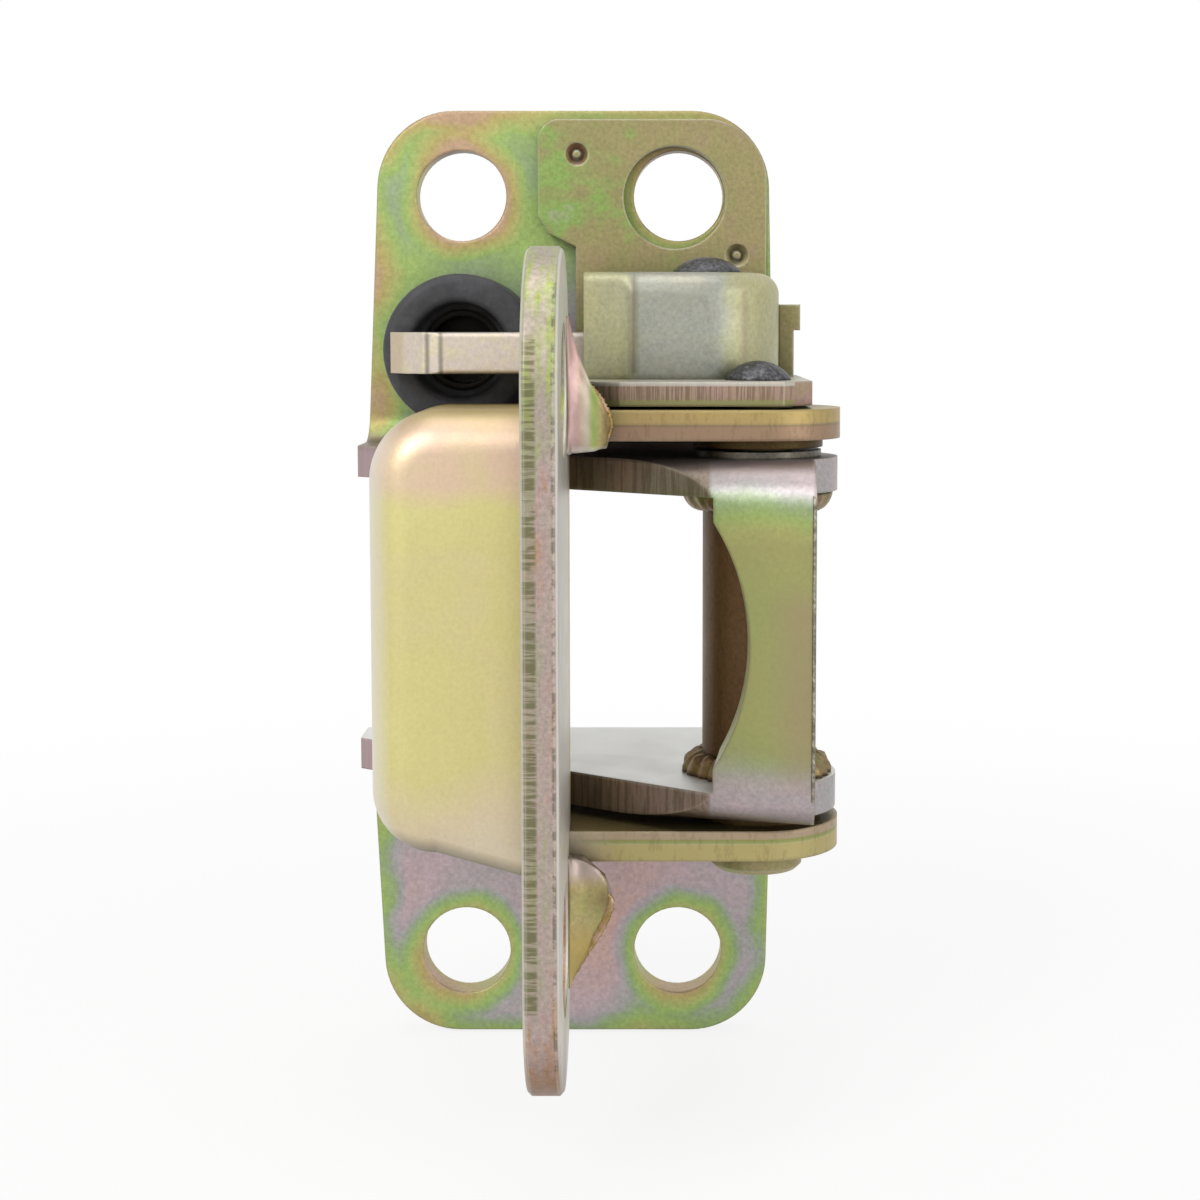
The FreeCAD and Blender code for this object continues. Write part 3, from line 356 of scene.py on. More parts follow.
postOut = (-60.0, -44.0)  # the front post, out from the pillar
earCut = ((-40.0, 19.5), (-52.0, -12.0))  # the cut edges of both ears, across and out
bracketLook = dict(plated, bump=0.15, cornerShadeTone=0.55, film=0.33, patchAmount=0.42, patchSize=22.0,
                   blotchAmount=0.12,
                   lobes={"gauge": 4.5, "wobbleSize": 7.0,
                          "holes": {"shift": 0.0, "across": 16.1, "up": 57.2, "inner": 6.3, "outer": 10.2,
                                    "amount": 0.52, "wobble": 3.0},
                          "outline": {"shift": 0.6, "across": 17.6, "up": 58.2, "inner": 12.2, "outer": 8.0,
                                      "amount": 0.36, "wobble": 5.0},
                          "pools": [(-6.0, 53.0, 18.0, 0.30), (-27.0, 46.0, 15.0, 0.30),
                                    (-16.0, 68.0, 11.0, 0.20), (-27.0, 27.0, 8.0, 0.30),
                                    (-24.0, -65.0, 12.0, 0.26), (14.0, -68.0, 13.0, 0.18),
                                    (-24.0, -36.0, 10.0, 0.12), (9.0, -36.0, 14.0, -0.14),
                                    (3.0, -54.0, 15.0, -0.14)]},
                   drifts=[((None, (-9.0, 1.0), (63.0, 75.0)), 8.0, 0.22),
                           ((None, postOut, (-17.0, 13.5)), 8.0, 0.30),
                           ((None, postOut, (-16.0, -6.0)), 8.0, 0.06),
                           ((None, postOut, (9.0, 15.0)), 5.0, 0.14)],
                   marks=[toneBox((None, postOut, (-19.0, 13.0)), 6.0, "#95905F", 0.72),
                          toneBox(((28.5, 34.0), (-60.0, -50.0), (-20.0, 4.0)), 4.0, "#9C8270", 0.45),
                          toneBox((*earCut, (16.2, 20.8)), 0.6, "#6B5A34", 0.65),
                          toneBox((*earCut, (-26.6, -22.2)), 0.6, "#7A6045", 0.65),
                          shearLines((*earCut, (-27.0, 21.0)), 0.6, (1.6, 1.6, 0.10), "#4C4026", 0.45),
                          toneBox(((-40.0, -27.0), None, (15.0, 21.0)), 2.5, "#B79FA4", 0.7),
                          toneBox(((-40.0, -27.0), None, (-27.5, -21.0)), 2.5, "#B79FA4", 0.7),
                          # painted light: faces that look up in the lower half are near white; painted shade:
                          # upward faces near the top of the post are lilac brown, undersides brown
                          paintedFacingTone((0, 0, 1), "#E4E4E1", 0.97, (None, None, (-30.0, 0.0))),
                          paintedFacingTone((0, 0, 1), "#82746F", 0.85, (None, None, (10.0, 22.0))), paintedUndersideShade])

armEnd = ((4.0, 50.0), (-50.0, -24.0))  # the strap's ears, across and out
bandSoft = (7.0, 1.0, 0.3)  # the bands on the ears fade out along the arm, towards the dome
strapLook = dict(plated, film=0.36, patchAmount=0.34, patchSize=26.0, blotchAmount=0.10, grainTone=0.05,
                 metal=0.65, edgeAmount=0.2, cornerShadeTone=0.35,
                 colours=[(0.0, "#D4CCBC"), (0.18, "#D6C6A6"), (0.34, "#D3CA8B"), (0.52, "#D6CE8D"),
                          (0.66, "#DCC0A8"), (0.80, "#D4B4B2"), (1.0, "#C4BCAC")],
                 drifts=[((None, None, (13.0, 30.0)), 9.0, 0.32),
                         ((None, None, (-40.0, -24.0)), 12.0, -0.22)],
                 marks=[toneBox((*armEnd, (25.35, 27.4)), bandSoft, "#A08A45", 0.8),
                        toneBox((*armEnd, (23.0, 25.3)), bandSoft, "#8A6F54", 0.85),
                        toneBox((*armEnd, (25.15, 25.45)), bandSoft, "#5E5426", 0.6),
                        toneBox((*armEnd, (-29.2, -26.8)), bandSoft, "#A08A72", 0.85),
                        toneBox((*armEnd, (-36.0, -29.6)), bandSoft, "#A79A5C", 0.85),
                        toneBox((*armEnd, (-29.6, -29.0)), bandSoft, "#7C8A3A", 0.8),
                        shearLines((*armEnd, (-36.0, 27.0)), bandSoft, (1.4, 1.4, 0.5), "#5E4A24", 0.20,
                                   0.56),
                        # painted shade: undersides brown and upward faces olive brown; painted light: faces
                        # that look left are pale
                        paintedUndersideShade,
                        paintedFacingTone((0, 0, 1), "#A3925F", 0.85), paintedFacingTone((-1, 0, 0), "#E4E0D8", 0.75)])

tornBand = ((-3.0, -1.35), (-80.0, -70.0), (-42.0, 37.0))  # left part of the plate's front edge
plateLook = dict(plated, film=0.42, patchAmount=0.9, patchSize=8.0, blotchSize=1.8, blotchAmount=0.9,
                 stretch=(2.4, 0.6, 0.4), grainTone=0.2, edgeWidth=0.5, edgeAmount=0.8, edgeColour="#D2CDBD",
                 colours=[(0.0, "#A5793F"), (0.2, "#AE8C72"), (0.36, "#AF9A94"), (0.5, "#A89C90"),
                          (0.64, "#A09C80"), (0.78, "#97A55C"), (1.0, "#B7943F")],
                 drifts=[((None, None, (-60.0, -44.0)), 16.0, -0.30),
                         ((None, None, (24.0, 50.0)), 14.0, 0.34)],
                 marks=[shearLines(tornBand, 0.35, (0.15, 0.1, 2.2), "#4A452C", 0.85, 0.47),
                        toneBox(tornBand, 0.35, "#8A8A5E", 0.4),
                        shearLines(((0.55, 0.95), (-80.0, -70.0), (-50.0, 50.0)), 0.25, (0.5, 0.1, 0.8),
                                   "#4A4030", 0.8, 0.5),
                        # painted highlights: pale strips on the plate's right face and along its left rim
                        toneBox(((1.0, 1.6), None, None), 0.2, "#D6D3CB", 0.85),
                        toneBox(((-3.4, -2.8), None, None), 0.2, "#DCD6C8", 0.6),
                        toneBox((None, (-80.0, -60.0), (-66.0, -50.0)), 9.0, "#6A5040", 0.7)])

flangeCut = (-47.0, -44.0)  # the front edge of the check bracket's flange, out from the pillar
# darker brown inside the upper of the two dimples
dimpleTone = toneBox(((-0.8, 3.0), (-7.62, -5.0), (61.2, 65.0)), 0.1, "#7E4E3C", 0.75)
checkLook = dict(plated, film=0.50, patchAmount=0.8, patchSize=16.0, blotchAmount=0.55, blotchSize=3.5,
                 metal=0.65, edgeAmount=0.6, edgeColour="#D0CBBE", edgeWidth=0.5,
                 colours=[(0.0, "#A9848A"), (0.25, "#A38C78"), (0.42, "#9B8F66"), (0.58, "#948F60"),
                          (0.72, "#87A258"), (0.85, "#9AA07E"), (1.0, "#A79C94")],
                 drifts=[((None, (-60.0, -40.0), None), 2.0, -0.25),
                         (((-8.0, 9.0), (-9.0, 0.0), (52.0, 70.0)), 6.0, 0.16)],
                 # painted light: upward faces pale grey; painted shade: undersides brown
                 marks=[dimpleTone, paintedFacingTone((0, 0, 1), "#C3C0B4", 0.8), paintedUndersideShade,
                        toneBox((None, flangeCut, (27.0, 31.5)), 0.3, "#A58E7A", 0.6),
                        shearLines((None, flangeCut, (28.3, 31.0)), 0.3, (4.0, 0.1, 0.1), "#5F4A38", 0.55),
                        toneBox((None, flangeCut, (27.6, 28.5)), 0.3, "#8A9650", 0.6),
                        toneBox((None, flangeCut, (30.3, 30.9)), 0.2, "#C9C6BC", 0.7)])

coverLook = dict(plated, film=0.5, patchAmount=0.5, patchSize=14.0, grainTone=0.14, edgeWidth=1.2,
                 edgeAmount=0.45, edgeColour="#CFC8AC", metal=0.62,
                 colours=[(0.0, "#B9A98F"), (0.3, "#A9A28F"), (0.5, "#9FA196"), (0.7, "#A8A88A"),
                          (1.0, "#B5AF80")],
                 drifts=[(((22.5, 32.0), None, None), 3.0, 0.35), (((2.0, 9.5), None, None), 2.0, 0.28)],
                 marks=[toneBox(((9.2, 10.1), (-36.0, -30.0), (31.5, 45.0)), 0.9, "#6F6450", 0.7),
                        toneBox(((24.4, 25.0), (-36.0, -28.0), (31.5, 43.0)), 1.0, "#8C7F66", 0.55)])
leverLook = dict(plated, film=0.5, patchAmount=0.6, patchSize=5.0, blotchSize=2.0, blotchAmount=0.4,
                 grainTone=0.10, edgeWidth=0.5, edgeColour="#E2DCCE", metal=0.6,
                 colours=[(0.0, "#BFA47E"), (0.3, "#D3C6A8"), (0.5, "#CFC2B8"), (0.7, "#D3CBA4"),
                          (1.0, "#DAD6C8")],
                 # painted shade: upward faces toned darker grey
                 marks=[paintedFacingTone((0, 0, 1), "#A39F97", 0.6),
                        toneBox(((-19.1, -18.5), None, None), 0.4, "#6E685F", 0.75),
                        toneBox(((-17.2, -16.6), None, None), 0.4, "#6E685F", 0.7),
                        toneBox(((-26.0, -22.4), None, None), 0.8, "#BFA982", 0.55)])
# painted shade: the barrel's dark brown stands for the shade it lies in behind the post and between the ears
shadedBarrelLook = dict(plated, film=0.3, patchAmount=0.5, stretch=(1.0, 1.0, 0.3), grainTone=0.2, cornerShadeTone=0.25,
                  colours=[(0.0, "#4E3A26"), (0.4, "#6C5132"), (0.7, "#6E5A38"), (1.0, "#5C6634")])
weldLook = dict(plated, film=0.45, patchSize=3.0, patchAmount=0.9, grainTone=0.3, edgeAmount=0.0,
                roughness=0.36, cornerShadeTone=0.3,
                colours=[(0.0, "#5C4632"), (0.35, "#8A6E4E"), (0.6, "#7E7A48"), (0.8, "#A08E80"),
                         (1.0, "#B8A8A0")])
pinLook = dict(checkLook, drifts=[], marks=[toneBox((None, None, (29.5, 40.0)), 0.3, "#4C4C4E", 1.0)])
# painted shade: the sleeve is drawn nearly black, with heavy corner shade, for the shade deep in the rubber's
# recess
shadedSleeveLook = dict(plated, film=0.4, patchAmount=0.5, patchSize=6.0, cornerShadeReach=14.0, cornerShadeTone=0.1,
                  colours=[(0.0, "#2E2A1E"), (0.5, "#3C3726"), (1.0, "#4A4630")])
lipLook = dict(plated, film=0.46, patchAmount=0.8, patchSize=3.5, blotchSize=1.2, blotchAmount=0.25,
               stretch=(1.4, 1.0, 0.6), edgeAmount=0.0, roughness=0.34,
               colours=[(0.0, "#8A7648"), (0.3, "#A8935A"), (0.5, "#AFA070"), (0.7, "#9FA060"),
                        (1.0, "#B49A8C")],
               marks=[toneBox(((1.0, 3.2), None, (20.0, 41.0)), 1.6, "#BE9AA2", 0.75),
                      toneBox(((3.2, 4.4), None, (21.0, 36.0)), 0.9, "#C6BCB0", 0.7),
                      toneBox(((4.3, 5.1), None, (21.0, 31.0)), 0.7, "#8FAE58", 0.75),
                      toneBox(((5.9, 8.0), None, (21.0, 31.0)), 0.8, "#6E5A34", 0.8),
                      toneBox((None, None, (21.4, 22.6)), 0.7, "#DAD4C8", 0.7),
                      # painted highlight: pale grey-pink band along the top of the lower lip
                      toneBox((None, None, (-33.4, -29.0)), 2.0, "#B5A4A2", 0.8),
                      toneBox(((4.6, 9.0), None, (-37.2, -34.6)), 3.2, "#5E4E30", 0.7),
                      toneBox((None, None, (-48.0, -40.5)), 3.0, "#B09A58", 0.7)])
tearLook = dict(plated, film=0.4, patchAmount=1.0, patchSize=1.4, blotchSize=0.8, blotchAmount=0.5,
                edgeAmount=0.9, edgeWidth=0.14, edgeColour="#3A2E1C", cornerShadeTone=0.4,
                colours=[(0.0, "#6A5630"), (0.3, "#9A8048"), (0.55, "#BE9C84"), (1.0, "#DCCABC")])
bracketPlate = platedSteel("yellowChromateBracket", bracketLook)  # lilac, with green rings and pools
strapPlate = platedSteel("yellowChromateDrawnStrap", strapLook)  # even pale gold, banded on the ears
doorPlate = platedSteel("yellowChromateShearedPlate", plateLook)  # mottled, with tear lines on its edge
checkPlate = platedSteel("yellowChromateCheckSheet", checkLook)  # olive gold, greener in patches
coverPlate = platedSteel("paleChromateCover", coverLook)  # greyer gold, with pale rounded corners
leverPlate = platedSteel("paleChromateLever", leverLook)  # nearly silver, with dark marks at its bends
shadedBarrelPlate = platedSteel("shadedBrownChromateBarrel", shadedBarrelLook)  # brown tube streaked along its length; the dark brown is painted shade
weldPlate = platedSteel("platedWeldBead", weldLook)  # brown and olive ripples that glint
shadedSleevePlate = platedSteel("shadedChromateSleeve", shadedSleeveLook)  # nearly black: painted shade deep in the rubber
lipPlate = platedSteel("chromateTornLip", lipLook)  # gold and pink sheet, smooth where it was stretched
tornSteel = platedSteel("tornSteelEdge", tearLook)  # light ragged metal with dark broken edges
pinPlate = platedSteel("platedPinDarkHead", pinLook)  # as the check sheet, dark at the riveted end

# bare metals; a grain too fine to show is drawn as coarse as it needs to be, in mm
rivetSteel = bareMetal("phosphatedRivetSteel", {  # dark grey and grainy
    "grain": 0.5, "roughness": 0.42, "colours": [(0.3, "#333335"), (0.5, "#505052"), (0.7, "#78787A")]})
springSteel = bareMetal("oiledSpringSteel", {  # drawn wire, with the sharpest highlights here
    "grain": 0.8, "roughness": 0.30, "colours": [(0.3, "#4A4744"), (0.6, "#6E6A66"), (0.8, "#8C8883")]})
washerSteel = bareMetal("plainWasherSteel", {  # plain warm grey
    "grain": 0.7, "roughness": 0.36, "colours": [(0.3, "#4C4840"), (0.6, "#6E6A60"), (0.8, "#88847A")]})
shadedBushBronze = bareMetal("shadedSinteredBronze", {  # dull brown and porous, darkened as painted shade of the gap between the ears
    "grain": 0.35, "roughness": 0.45, "colours": [(0.3, "#3E3220"), (0.6, "#52432A"), (0.8, "#685638")]})
burrSteel = bareMetal("shearedBurrSteel", {  # light, broken glints along the edge
    "grain": 0.9, "roughness": 0.38, "colours": [(0.35, "#6E675B"), (0.5, "#8E8779"), (0.65, "#AEA899")]})
blackRubber = mouldedRubber("mouldedBlackRubber", {
    "bloomSize": 2.5, "poreSize": 0.35, "roughness": 0.62, "ior": 1.52,
    "colours": [(0.3, "#2A2A2C"), (0.55, "#38383B"), (0.75, "#48484C")]})

finishes = {
    "pillar_bracket": bracketPlate, "pin_barrel": shadedBarrelPlate, "hinge_pin": pinPlate,
    "check_bracket": checkPlate, "check_cover": coverPlate, "lever_rivet": rivetSteel,
    "pivot_sleeve": coverPlate, "bumper_sleeve": shadedSleevePlate, "door_strap": strapPlate,
    "door_plate": doorPlate, "upper_ear_bush": shadedBushBronze, "lower_ear_bush": shadedBushBronze,
    "upper_thrust_washer": washerSteel, "lever_washer": washerSteel, "stop_lever": leverPlate,
    "upper_barrel_weld": weldPlate, "lower_barrel_weld": weldPlate, "upper_strap_weld": weldPlate,
    "lower_strap_weld": weldPlate, "lever_spring": springSteel, "rubber_bumper": blackRubber}
for name, material in finishes.items():
    for slot in nodes[name].material_slots:
        slot.material = material
print("finishes set on", len(finishes), "nodes")


# Riveted heads: low domes with the riveting tool's radial marks, over the plain domes of the CAD
rivetHeads = {
    "pin_rivet_head": {"centre": (*pinPlace, 30.85), "radius": 4.45, "rise": 2.6, "body": "pillar_half",
                       "slot": "pin_steel"},
    "lever_rivet_head": {"centre": (*rivetPlace, 45.35), "radius": 4.9, "rise": 2.25, "body": "pillar_half",
                         "slot": "rivet_steel"}}
headShape = {"foot": 0.12, "steps": 12, "fullness": 0.7, "swages": 12, "depth": 0.05}


def rivetHead(name, spec, shape):
    radius, rise, steps = spec["radius"], spec["rise"], shape["steps"]
    rows = [(radius * 0.97, 0.0), (radius, shape["foot"])]
    for step in range(1, steps + 1):
        reach = radius * (1 - step / steps)
        dome = rise * (1 - (reach / radius) ** 2) ** shape["fullness"]
        rows.append((reach, max(shape["foot"], dome)))

    def marks(angle, row, reach, level):
        # shallow swages of the riveting tool, deepest half way up
        swage = max(0.0, math.cos(shape["swages"] * angle)) * math.sin(math.pi * min(1.0, reach / radius))
        rough = noise.noise(Vector((reach * math.cos(angle), reach * math.sin(angle), 3.0 * radius)))
        return reach, level - (shape["depth"] * (swage + abs(rough)) if 1 < row <= steps else 0.0)
    piece = closeEnds(lathePiece(name, rows, spec["centre"], rivetSteel, shape=marks))
    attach(piece, spec["body"])


for name, spec in rivetHeads.items():
    rivetHead(name, spec, headShape)
print("rivet heads made")

# Fillet welds round the barrel: a neat upper bead and a lumpy lower one
barrelBeads = {
    "upper_barrel_bead": {"replaces": "upper_barrel_weld", "foot": 16.25, "way": -1, "leg": 2.9,
                          "lump": 0.35, "seed": 2.0},
    "lower_barrel_bead": {"replaces": "lower_barrel_weld", "foot": -22.05, "way": 1, "leg": 3.0,
                          "lump": 0.75, "seed": 9.0}}
beadShape = {"inner": 7.3, "steps": 8, "fullness": 0.9, "ripples": 26, "dip": 0.22, "rough": 0.35,
             "segments": 144}


def barrelBead(name, spec, shape):
    inner, leg = shape["inner"], spec["leg"]
    rows = [(inner, 0.0)]
    for step in range(shape["steps"] + 1):
        turn = math.pi / 2 * step / shape["steps"]
        rows.append((inner + leg * math.cos(turn) ** shape["fullness"],
                     leg * math.sin(turn) ** shape["fullness"] * spec["way"]))

    def lumps(angle, row, radius, level):
        if row == 0:
            return radius, level
        ripple = noise.noise(Vector((math.cos(angle) * 3.2, math.sin(angle) * 3.2,
                                     spec["seed"] + row * 0.15)))
        beads = 0.5 + 0.5 * math.cos(angle * shape["ripples"] + 2 * ripple)
        swell = 1 - shape["dip"] * spec["lump"] * beads - spec["lump"] * shape["rough"] * abs(ripple)
        return inner + (radius - inner) * swell, level * swell
    piece = lathePiece(name, rows, (*pinPlace, spec["foot"]), weldPlate, shape["segments"], shape=lumps)
    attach(piece, "pillar_half")
    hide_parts(spec["replaces"])


for name, spec in barrelBeads.items():
    barrelBead(name, spec, beadShape)

# Short beads that join the strap to the back edge of the plate
strapBeads = {"upper_strap_bead": {"replaces": "upper_strap_weld", "seed": 4.0},
              "lower_strap_bead": {"replaces": "lower_strap_weld", "seed": 6.0}}
strapBeadShape = {"around": 20, "along": 16, "bluntness": 3.5, "girth": 0.93, "rough": 0.12, "ripple": 0.06}


def strapBead(name, spec, shape):
    low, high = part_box(spec["replaces"])
    middle, half = (low + high) / 2, (high - low) / 2
    points, faces = [], []
    around, along = shape["around"], shape["along"]
    for step in range(along + 1):
        place = -1 + 2 * step / along
        swell = (1 - abs(place) ** shape["bluntness"]) ** 0.5
        for turn in range(around):
            angle = 2 * math.pi * turn / around
            rough = noise.noise(Vector((place * 2.2, math.cos(angle), spec["seed"] + math.sin(angle))))
            reach = swell * (shape["girth"] + shape["rough"] * rough - shape["ripple"] * math.cos(place * 9))
            points.append((middle.x + half.x * place, middle.y + half.y * reach * math.cos(angle),
                           middle.z + half.z * reach * math.sin(angle)))
    for step in range(along):
        for turn in range(around):
            after = (turn + 1) % around
            faces.append([step * around + turn, (step + 1) * around + turn,
                          (step + 1) * around + after, step * around + after])
    piece = meshPiece(name, points, faces, weldPlate)
    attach(piece, "door_half")
    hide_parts(spec["replaces"])


for name, spec in strapBeads.items():
    strapBead(name, spec, strapBeadShape)
print("weld beads made")

# Torsion spring of round wire round the lever's rivet
springSpec = {"centre": rivetPlace, "radius": 5.5, "wire": 1.6, "turns": 2.5, "pitch": 1.7, "low": 38.1,
              "leg": 13.0, "straight": 2.0, "perTurn": 24}


def torsionSpring(spec):
    centreX, centreY = spec["centre"]
    radius, straight = spec["radius"], spec["straight"]
    path = [(centreX - spec["leg"], centreY - radius, spec["low"]),
            (centreX - straight, centreY - radius, spec["low"])]
    for step in range(int(spec["turns"] * spec["perTurn"]) + 1):
        turn = step / spec["perTurn"]
        angle = -math.pi / 2 + 2 * math.pi * turn
        path.append((centreX + radius * math.cos(angle), centreY + radius * math.sin(angle),
                     spec["low"] + spec["pitch"] * turn))
    last = path[-1]
    path += [(last[0] - straight, last[1], last[2]), (centreX - spec["leg"], last[1], last[2])]
    curve = bpy.data.curves.new("torsion_spring", "CURVE")
    curve.dimensions = "3D"
    curve.bevel_depth = spec["wire"] / 2 * mm
    curve.bevel_resolution = 5
    curve.use_fill_caps = True
    line = curve.splines.new("POLY")
    line.points.add(len(path) - 1)
    for point, place in zip(line.points, path):
        point.co = (place[0] * mm, place[1] * mm, place[2] * mm, 1.0)
    curve.materials.append(springSteel)
    piece = bpy.data.objects.new("torsion_spring", curve)
    bpy.context.scene.collection.objects.link(piece)
    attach(piece, "check_lever")
    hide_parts("lever_spring")


torsionSpring(springSpec)

# Rubber buffer: a thick moulded ring with a rounded rim, open in front
bumperSpec = {"centre": (-15.2, -4.5, 34.55), "radius": 10.9, "recess": 6.8, "bore": 5.85, "length": 16.0,
              "floor": 10.5, "rim": 1.4, "foot": 1.2, "swell": 0.05, "steps": 6}


def rubberBuffer(spec):
    # its profile runs up the outside, over the rim and down the recess to the bore
    outer, length, rim, steps = spec["radius"], spec["length"], spec["rim"], spec["steps"]
    recess, bore, floor = spec["recess"], spec["bore"], spec["floor"]
    foot, swell = spec["foot"], spec["swell"]
    rows = [(bore, 0.0), (outer - 0.6, 0.0), (outer - 0.15, 0.4), (outer - swell, foot)]
    for step in range(1, steps + 1):
        rows.append((outer - swell + swell * math.sin(math.pi * step / steps),
                     foot + (length - rim - foot) * step / steps))
    for step in range(1, steps + 1):
        turn = math.pi / 2 * step / steps
        rows.append((outer - rim + rim * math.cos(turn), length - rim + rim * math.sin(turn)))
    rows += [(recess + 0.9, length), (recess + 0.25, length - 0.25), (recess, length - 0.9),
             (recess, floor + 0.6), (recess - 0.5, floor), (bore, floor), (bore, 0.0)]
    rows = [(radius, -level) for radius, level in rows]
    piece = lathePiece("rubber_buffer", rows, spec["centre"], blackRubber, axis="Y")
    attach(piece, "pillar_half")
    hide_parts("rubber_bumper")


rubberBuffer(bumperSpec)
print("spring and rubber buffer made")


# Torn lips of the slot: sheet that the punch pushed out and tore, with a second torn layer behind.
# Each outline runs down the torn side in mm, as (across, up).
lipSpecs = {
    "upper_torn_lip": {"seed": 3.0, "foot": 1.2,
                       "edge": [(1.5, 39.3), (2.1, 36.8), (2.8, 34.3), (4.3, 30.8), (5.5, 28.8), (6.6, 26.7),
                                (6.9, 25.4), (6.5, 24.1), (6.4, 22.9), (4.8, 22.2), (1.6, 21.9)],
                       "layer": [(4.3, 30.9), (5.8, 29.1), (7.0, 26.9), (7.25, 25.4), (6.8, 23.8)]},
    "lower_torn_lip": {"seed": 7.0, "foot": 1.2,
                       "edge": [(1.5, -30.4), (3.6, -31.1), (5.1, -32.0), (6.2, -33.5), (6.5, -34.8),
                                (6.4, -36.6), (5.5, -38.9), (4.5, -40.7), (3.8, -42.6), (2.3, -45.8),
                                (1.5, -47.4)],
                       "layer": [(6.5, -35.0), (7.3, -36.3), (7.1, -37.5), (6.1, -39.8), (5.1, -41.5),
                                 (4.0, -43.1), (2.4, -45.8)]}}
lipShape = {"rows": 60, "columns": 14, "rag": 0.10, "fold": 0.12, "face": -50.75, "bow": 1.15, "wall": 0.5}
tearShape = {"rows": 70, "rag": 0.35, "wall": 0.12,
             "section": ((0.0, -50.65), (0.4, -50.85), (0.9, -50.7), (1.5, -50.8))}  # inset and out, in mm


def alongLine(line, count):
    # evenly spaced points along a run of corners
    lengths = [math.dist(a, b) for a, b in zip(line, line[1:])]
    total, points = sum(lengths), []
    for step in range(count + 1):
        left = total * step / count
        for (a, b), length in zip(zip(line, line[1:]), lengths):
            if left <= length + 1e-9:
                share = left / length
                points.append((a[0] + (b[0] - a[0]) * share, a[1] + (b[1] - a[1]) * share))
                break
            left -= length
    return points


def tornLip(name, spec, shape):
    rows, columns, points = shape["rows"], shape["columns"], []
    top, low = spec["edge"][0][1], spec["edge"][-1][1]
    for row, (across, up) in enumerate(alongLine(spec["edge"], rows)):
        rag = shape["rag"] * noise.noise(Vector((row * 0.9, spec["seed"], 0.0)))
        root = top + (low - top) * row / rows
        for column in range(columns + 1):
            share = column / columns
            x = spec["foot"] + (across + rag - spec["foot"]) * share
            z = root + (up - root) * share ** 1.3
            fold = shape["fold"] * noise.noise(Vector((x * 0.8, z * 0.45, spec["seed"])))
            out = shape["face"] - shape["bow"] * (1 - share) ** 2.2 - fold
            points.append(Vector((x, out, z)) * mm)
    piece = meshPiece(name, points, gridFaces(rows, columns), lipPlate)
    solidify(piece, shape["wall"])
    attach(piece, "door_half")


def tornLayer(name, spec, shape):
    # a ragged strip that stands out behind the lip's edge by up to a millimetre
    rows, columns, points = shape["rows"], len(shape["section"]) - 1, []
    for row, (across, up) in enumerate(alongLine(spec["layer"], rows)):
        rag = shape["rag"] * noise.noise(Vector((row * 0.45, spec["seed"], 5.0)))
        for column, (inset, out) in enumerate(shape["section"]):
            points.append(Vector((across - inset + rag * (1 - column / columns), out + rag * 0.5, up)) * mm)
    piece = meshPiece(name, points, gridFaces(rows, columns), tornSteel)
    solidify(piece, shape["wall"])
    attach(piece, "door_half")


for name, spec in lipSpecs.items():
    tornLip(name, spec, lipShape)
    tornLayer(name.replace("torn_lip", "tear"), spec, tearShape)

# Burr along the right edge of the post, where the blank was sheared
burrSpec = {"foot": (32.55, -54.52), "low": -22.5, "high": 17.0, "step": 0.4, "width": 0.20, "ridge": 0.10,
            "rise": 0.06, "sunk": 0.02, "middle": -2.9, "straight": 18.0, "bend": 0.16, "wall": 0.08}


def postBurr(spec):
    count = int((spec["high"] - spec["low"]) / spec["step"])
    width, ridge, rise, sunk = spec["width"], spec["ridge"], spec["rise"], spec["sunk"]
    points, faces = [], []
    for step in range(count + 1):
        up = spec["low"] + spec["step"] * step
        jag = 0.5 + 0.5 * math.cos(step * 2.9) + 0.5 * noise.noise(Vector((step * 0.7, 2.0, 0.0)))
        # the post is straight about its middle and bends back towards both ends
        bend = spec["bend"] * max(0.0, abs(up - spec["middle"]) - spec["straight"]) ** 2
        section = ((-width, sunk), (-ridge, -rise - 0.06 * jag), (ridge, -rise - 0.05 * jag), (width, sunk))
        for across, out in section:
            points.append(Vector((spec["foot"][0] + across + 0.06 * jag,
                                  spec["foot"][1] + out + bend, up)) * mm)
    for step in range(count):
        for side in range(3):
            a = step * 4 + side
            faces.append([a, a + 1, a + 5, a + 4])
    piece = meshPiece("post_edge_burr", points, faces, burrSteel, smooth=False)
    solidify(piece, spec["wall"])
    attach(piece, "pillar_half")


postBurr(burrSpec)
print("torn lips and burr made")


# Pale floor under white light: it keeps the hinge's soft shadow and fades to white further out
floorSpec = {"level": -70.3, "radius": 900.0, "corners": 64, "paint": "#F4F4F3", "roughness": 0.9,
             "fadeStart": 60.0, "fadeEnd": 300.0, "glowNear": 0.86, "glowFar": 1.0}


def seenDirectly(tree):
    # 1 for what the camera sees straight, in metal or through glass, and 0 for light on the object
    rays = addNode(tree, "ShaderNodeLightPath")
    seen = rays.outputs["Is Camera Ray"]
    for kind in ("Is Glossy Ray", "Is Transmission Ray"):
        seen = addNode(tree, "ShaderNodeMath", {"operation": "MAXIMUM"},
                       {0: seen, 1: rays.outputs[kind]}).outputs[0]
    return seen


